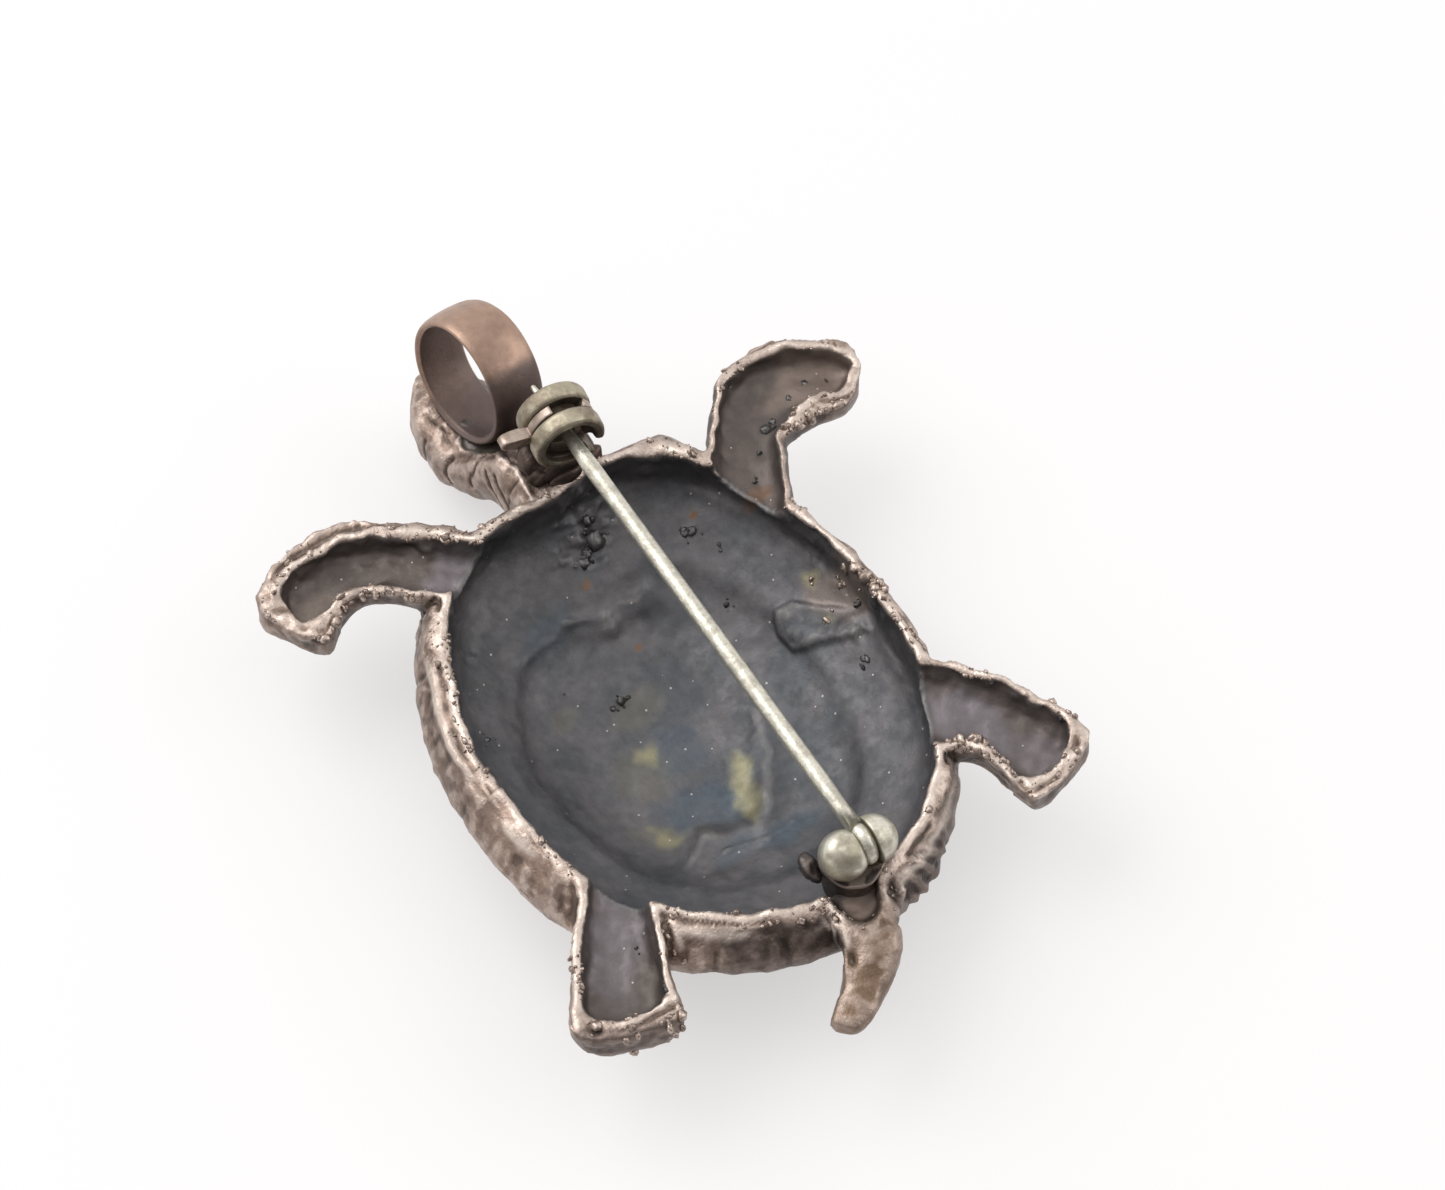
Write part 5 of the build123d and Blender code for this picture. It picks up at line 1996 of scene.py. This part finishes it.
class TURTLE_OT_bail(bpy.types.Operator):
    """Builds the bail that a chain is threaded through"""

    bl_idname = "turtle.bail"
    bl_label = "Bail"

    def execute(self, context):
        s = sizes_in_mm()
        piece = bail_ring(s)
        keep_inside(piece, "turtle_casting")
        material = simple_metal("bail_silver", finishes().bail)
        dress(piece, "brooch", "cast_silver", material, "turtle_casting")
        solder = solid("bail_solder", bail_solder(s))
        keep_inside(solder, "turtle_casting")
        dull = simple_metal("dark_solder")
        dress(solder, "brooch", "cast_silver", dull, "turtle_casting")
        return {"FINISHED"}


class TURTLE_OT_joint(bpy.types.Operator):
    """Builds the joint's balls and seat, and finishes its rivet"""

    bl_idname = "turtle.joint"
    bl_label = "Joint"

    def execute(self, context):
        s = sizes_in_mm()
        balls, seat = joint_piece(s)
        piece = solid("joint_balls", balls)
        points = points_of(piece)
        centre = joint_centre(s)
        # painted shade on the balls' lower side; darker patches on the left
        low = between(centre[2] - points[:, 2], -0.5, 0.7)
        left = between(centre[0] - points[:, 0], -0.4, 0.8)
        patchy = between(layered(points, 0.9, 61, 3), 0.0, 0.35) * left
        store(piece, "shade", np.maximum(low, 0.55 * patchy))
        material = simple_metal("joint_nickel", finishes().wire)
        dress(piece, "brooch", "cast_silver", material, "turtle_casting")
        base = solid("joint_seat", seat)
        keep_inside(base, "turtle_casting")
        points = points_of(base)
        over_edge = points[:, 2] - s["depth"]
        # the seat's shade attribute paints a highlight: a lighter lip on its -Y side
        lip = between(over_edge, -0.12, 0.05) * (over_edge < 0.19)
        store(base, "shade", 0.8 * lip * between(points @ (0.4, -0.9, 0), 9.5, 11.0))
        brown = simple_metal("seat_solder")
        dress(base, "brooch", "cast_silver", brown, "turtle_casting")
        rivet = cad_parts["joint_rivet"]
        rivet_finish = simple_metal("rivet_nickel", finishes().wire)
        for slot in rivet.material_slots:
            slot.material = rivet_finish
        return {"FINISHED"}


class TURTLE_OT_stem(bpy.types.Operator):
    """Builds the pin stem with its eye"""

    bl_idname = "turtle.stem"
    bl_label = "Pin stem"

    def execute(self, context):
        s = sizes_in_mm()
        piece = stem(s)
        keep_inside(piece, "pin_stem")
        material = simple_metal("wire_nickel", finishes().wire)
        dress(piece, "pin", "nickel_wire", material, "pin_stem")
        return {"FINISHED"}


class TURTLE_OT_catch(bpy.types.Operator):
    """Builds the catch's discs, core and foot, and its roller with the lever"""

    bl_idname = "turtle.catch"
    bl_label = "Catch"

    def execute(self, context):
        s = sizes_in_mm()
        housing = catch_piece(s)
        keep_inside(housing, "turtle_casting")
        material = simple_metal("catch_brass", finishes().catch)
        dress(housing, "brooch", "cast_silver", material, "turtle_casting")
        foot = solid("catch_foot", catch_foot(s))
        keep_inside(foot, "turtle_casting")
        brown = simple_metal("foot_solder")
        dress(foot, "brooch", "cast_silver", brown, "turtle_casting")
        piece = roller(s)
        keep_inside(piece, "catch_roller")
        lever = simple_metal("lever_brass")
        dress(piece, "roller", "brass_roller", lever, "catch_roller")
        return {"FINISHED"}


# Strength of the light that the floor gives of itself
FLOOR_GLOW = 0.54

# Square lights: place and size in m, and power in watts
LIGHTS = {
    "large_softbox": ((-0.12, 0.22, 0.3), 0.3, 0.75),
    "side_softbox": ((0.25, -0.15, 0.2), 0.3, 0.35),
}

# Camera: focal length and width of the picture in pixels, width of its chip in mm, direction from the
# brooch in degrees, distance and the point looked at in m
FOCAL_PIXELS, PICTURE_PIXELS, CHIP_WIDTH = 4620, 1445, 36.0
AZIMUTH, ELEVATION, DISTANCE = -32, 58, 0.21
LOOKED_AT = (0.003953, 0.003537, 0.0068)


class TURTLE_OT_stage(bpy.types.Operator):
    """Builds the pale floor, the soft lights and the camera"""

    bl_idname = "turtle.stage"
    bl_label = "Stage"

    def execute(self, context):
        scene = bpy.context.scene
        mesh = bpy.data.meshes.new("floor")
        mesh.from_pydata([(-1, -1, 0), (1, -1, 0), (1, 1, 0), (-1, 1, 0)], [], [(0, 1, 2, 3)])
        floor = bpy.data.objects.new("floor", mesh)
        scene.collection.objects.link(floor)
        material, _, shader = start_material("pale_floor", 0.0, 0.6)
        shader.inputs["Base Color"].default_value = rgba(finishes().floor)
        shader.inputs["Emission Color"].default_value = (1.0, 0.985, 0.985, 1)
        shader.inputs["Emission Strength"].default_value = FLOOR_GLOW
        mesh.materials.append(material)

        world = bpy.data.worlds.new("soft_room")
        world.use_nodes = True
        sky = world.node_tree
        place = sky.nodes.new("ShaderNodeTexCoord").outputs["Generated"]
        split = add_node(sky, "ShaderNodeSeparateXYZ", ((0, place),))
        behind = maths(sky, "MULTIPLY_ADD", split.outputs[2], -0.35, 0.15)
        behind = maths(sky, "MULTIPLY_ADD", split.outputs[1], -0.9, behind)
        shade = ramp(sky, behind, -0.1, 0.8)
        colour = mix_colour(sky, shade, (1.12, 1.1, 1.1, 1), (0.22, 0.2, 0.2, 1))
        sky.links.new(colour, sky.nodes["Background"].inputs[0])
        scene.world = world
        for name, (place, size, power) in LIGHTS.items():
            light = bpy.data.lights.new(name, "AREA")
            light.shape = "SQUARE"
            light.size = size
            light.energy = power
            lamp = bpy.data.objects.new(name, light)
            lamp.location = place
            lamp.rotation_euler = (Vector((0, 0, 0.004)) - Vector(place)).to_track_quat("-Z", "Y").to_euler()
            scene.collection.objects.link(lamp)

        data = bpy.data.cameras.new("camera")
        data.sensor_width = CHIP_WIDTH
        data.lens = FOCAL_PIXELS / PICTURE_PIXELS * CHIP_WIDTH
        data.clip_start = 0.01
        camera = bpy.data.objects.new("camera", data)
        azimuth, elevation = math.radians(AZIMUTH), math.radians(ELEVATION)
        level = math.cos(elevation)
        back = Vector((math.sin(azimuth) * level, -math.cos(azimuth) * level, math.sin(elevation)))
        camera.location = Vector(LOOKED_AT) + back * DISTANCE
        camera.rotation_euler = back.to_track_quat("Z", "Y").to_euler()
        scene.collection.objects.link(camera)
        scene.camera = camera
        scene.view_settings.view_transform = "Standard"
        return {"FINISHED"}


class TURTLE_PT_panel(bpy.types.Panel):
    """Shows the settings, and a button for each step"""

    bl_label = "Turtle brooch"
    bl_idname = "TURTLE_PT_panel"
    bl_space_type = "VIEW_3D"
    bl_region_type = "UI"
    bl_category = "Turtle brooch"

    def draw(self, context):
        for group in (context.scene.turtle_sizes, context.scene.turtle_finish):
            box = self.layout.box()
            for name in group.__annotations__:
                box.prop(group, name)
        for operator in OPERATORS:
            self.layout.operator(operator.bl_idname)


OPERATORS = (
    TURTLE_OT_groups,
    TURTLE_OT_casting,
    TURTLE_OT_bail,
    TURTLE_OT_joint,
    TURTLE_OT_stem,
    TURTLE_OT_catch,
    TURTLE_OT_stage,
)
CLASSES = (TurtleSizes, TurtleFinish) + OPERATORS + (TURTLE_PT_panel,)


def register():
    for item in CLASSES:
        bpy.utils.register_class(item)
    bpy.types.Scene.turtle_sizes = bpy.props.PointerProperty(type=TurtleSizes)
    bpy.types.Scene.turtle_finish = bpy.props.PointerProperty(type=TurtleFinish)


def unregister():
    del bpy.types.Scene.turtle_finish
    del bpy.types.Scene.turtle_sizes
    for item in reversed(CLASSES):
        bpy.utils.unregister_class(item)


def main():
    register()
    bpy.ops.turtle.groups()
    bpy.ops.turtle.casting()
    bpy.ops.turtle.bail()
    bpy.ops.turtle.joint()
    bpy.ops.turtle.stem()
    bpy.ops.turtle.catch()
    bpy.ops.turtle.stage()


if __name__ == "__main__":
    main()
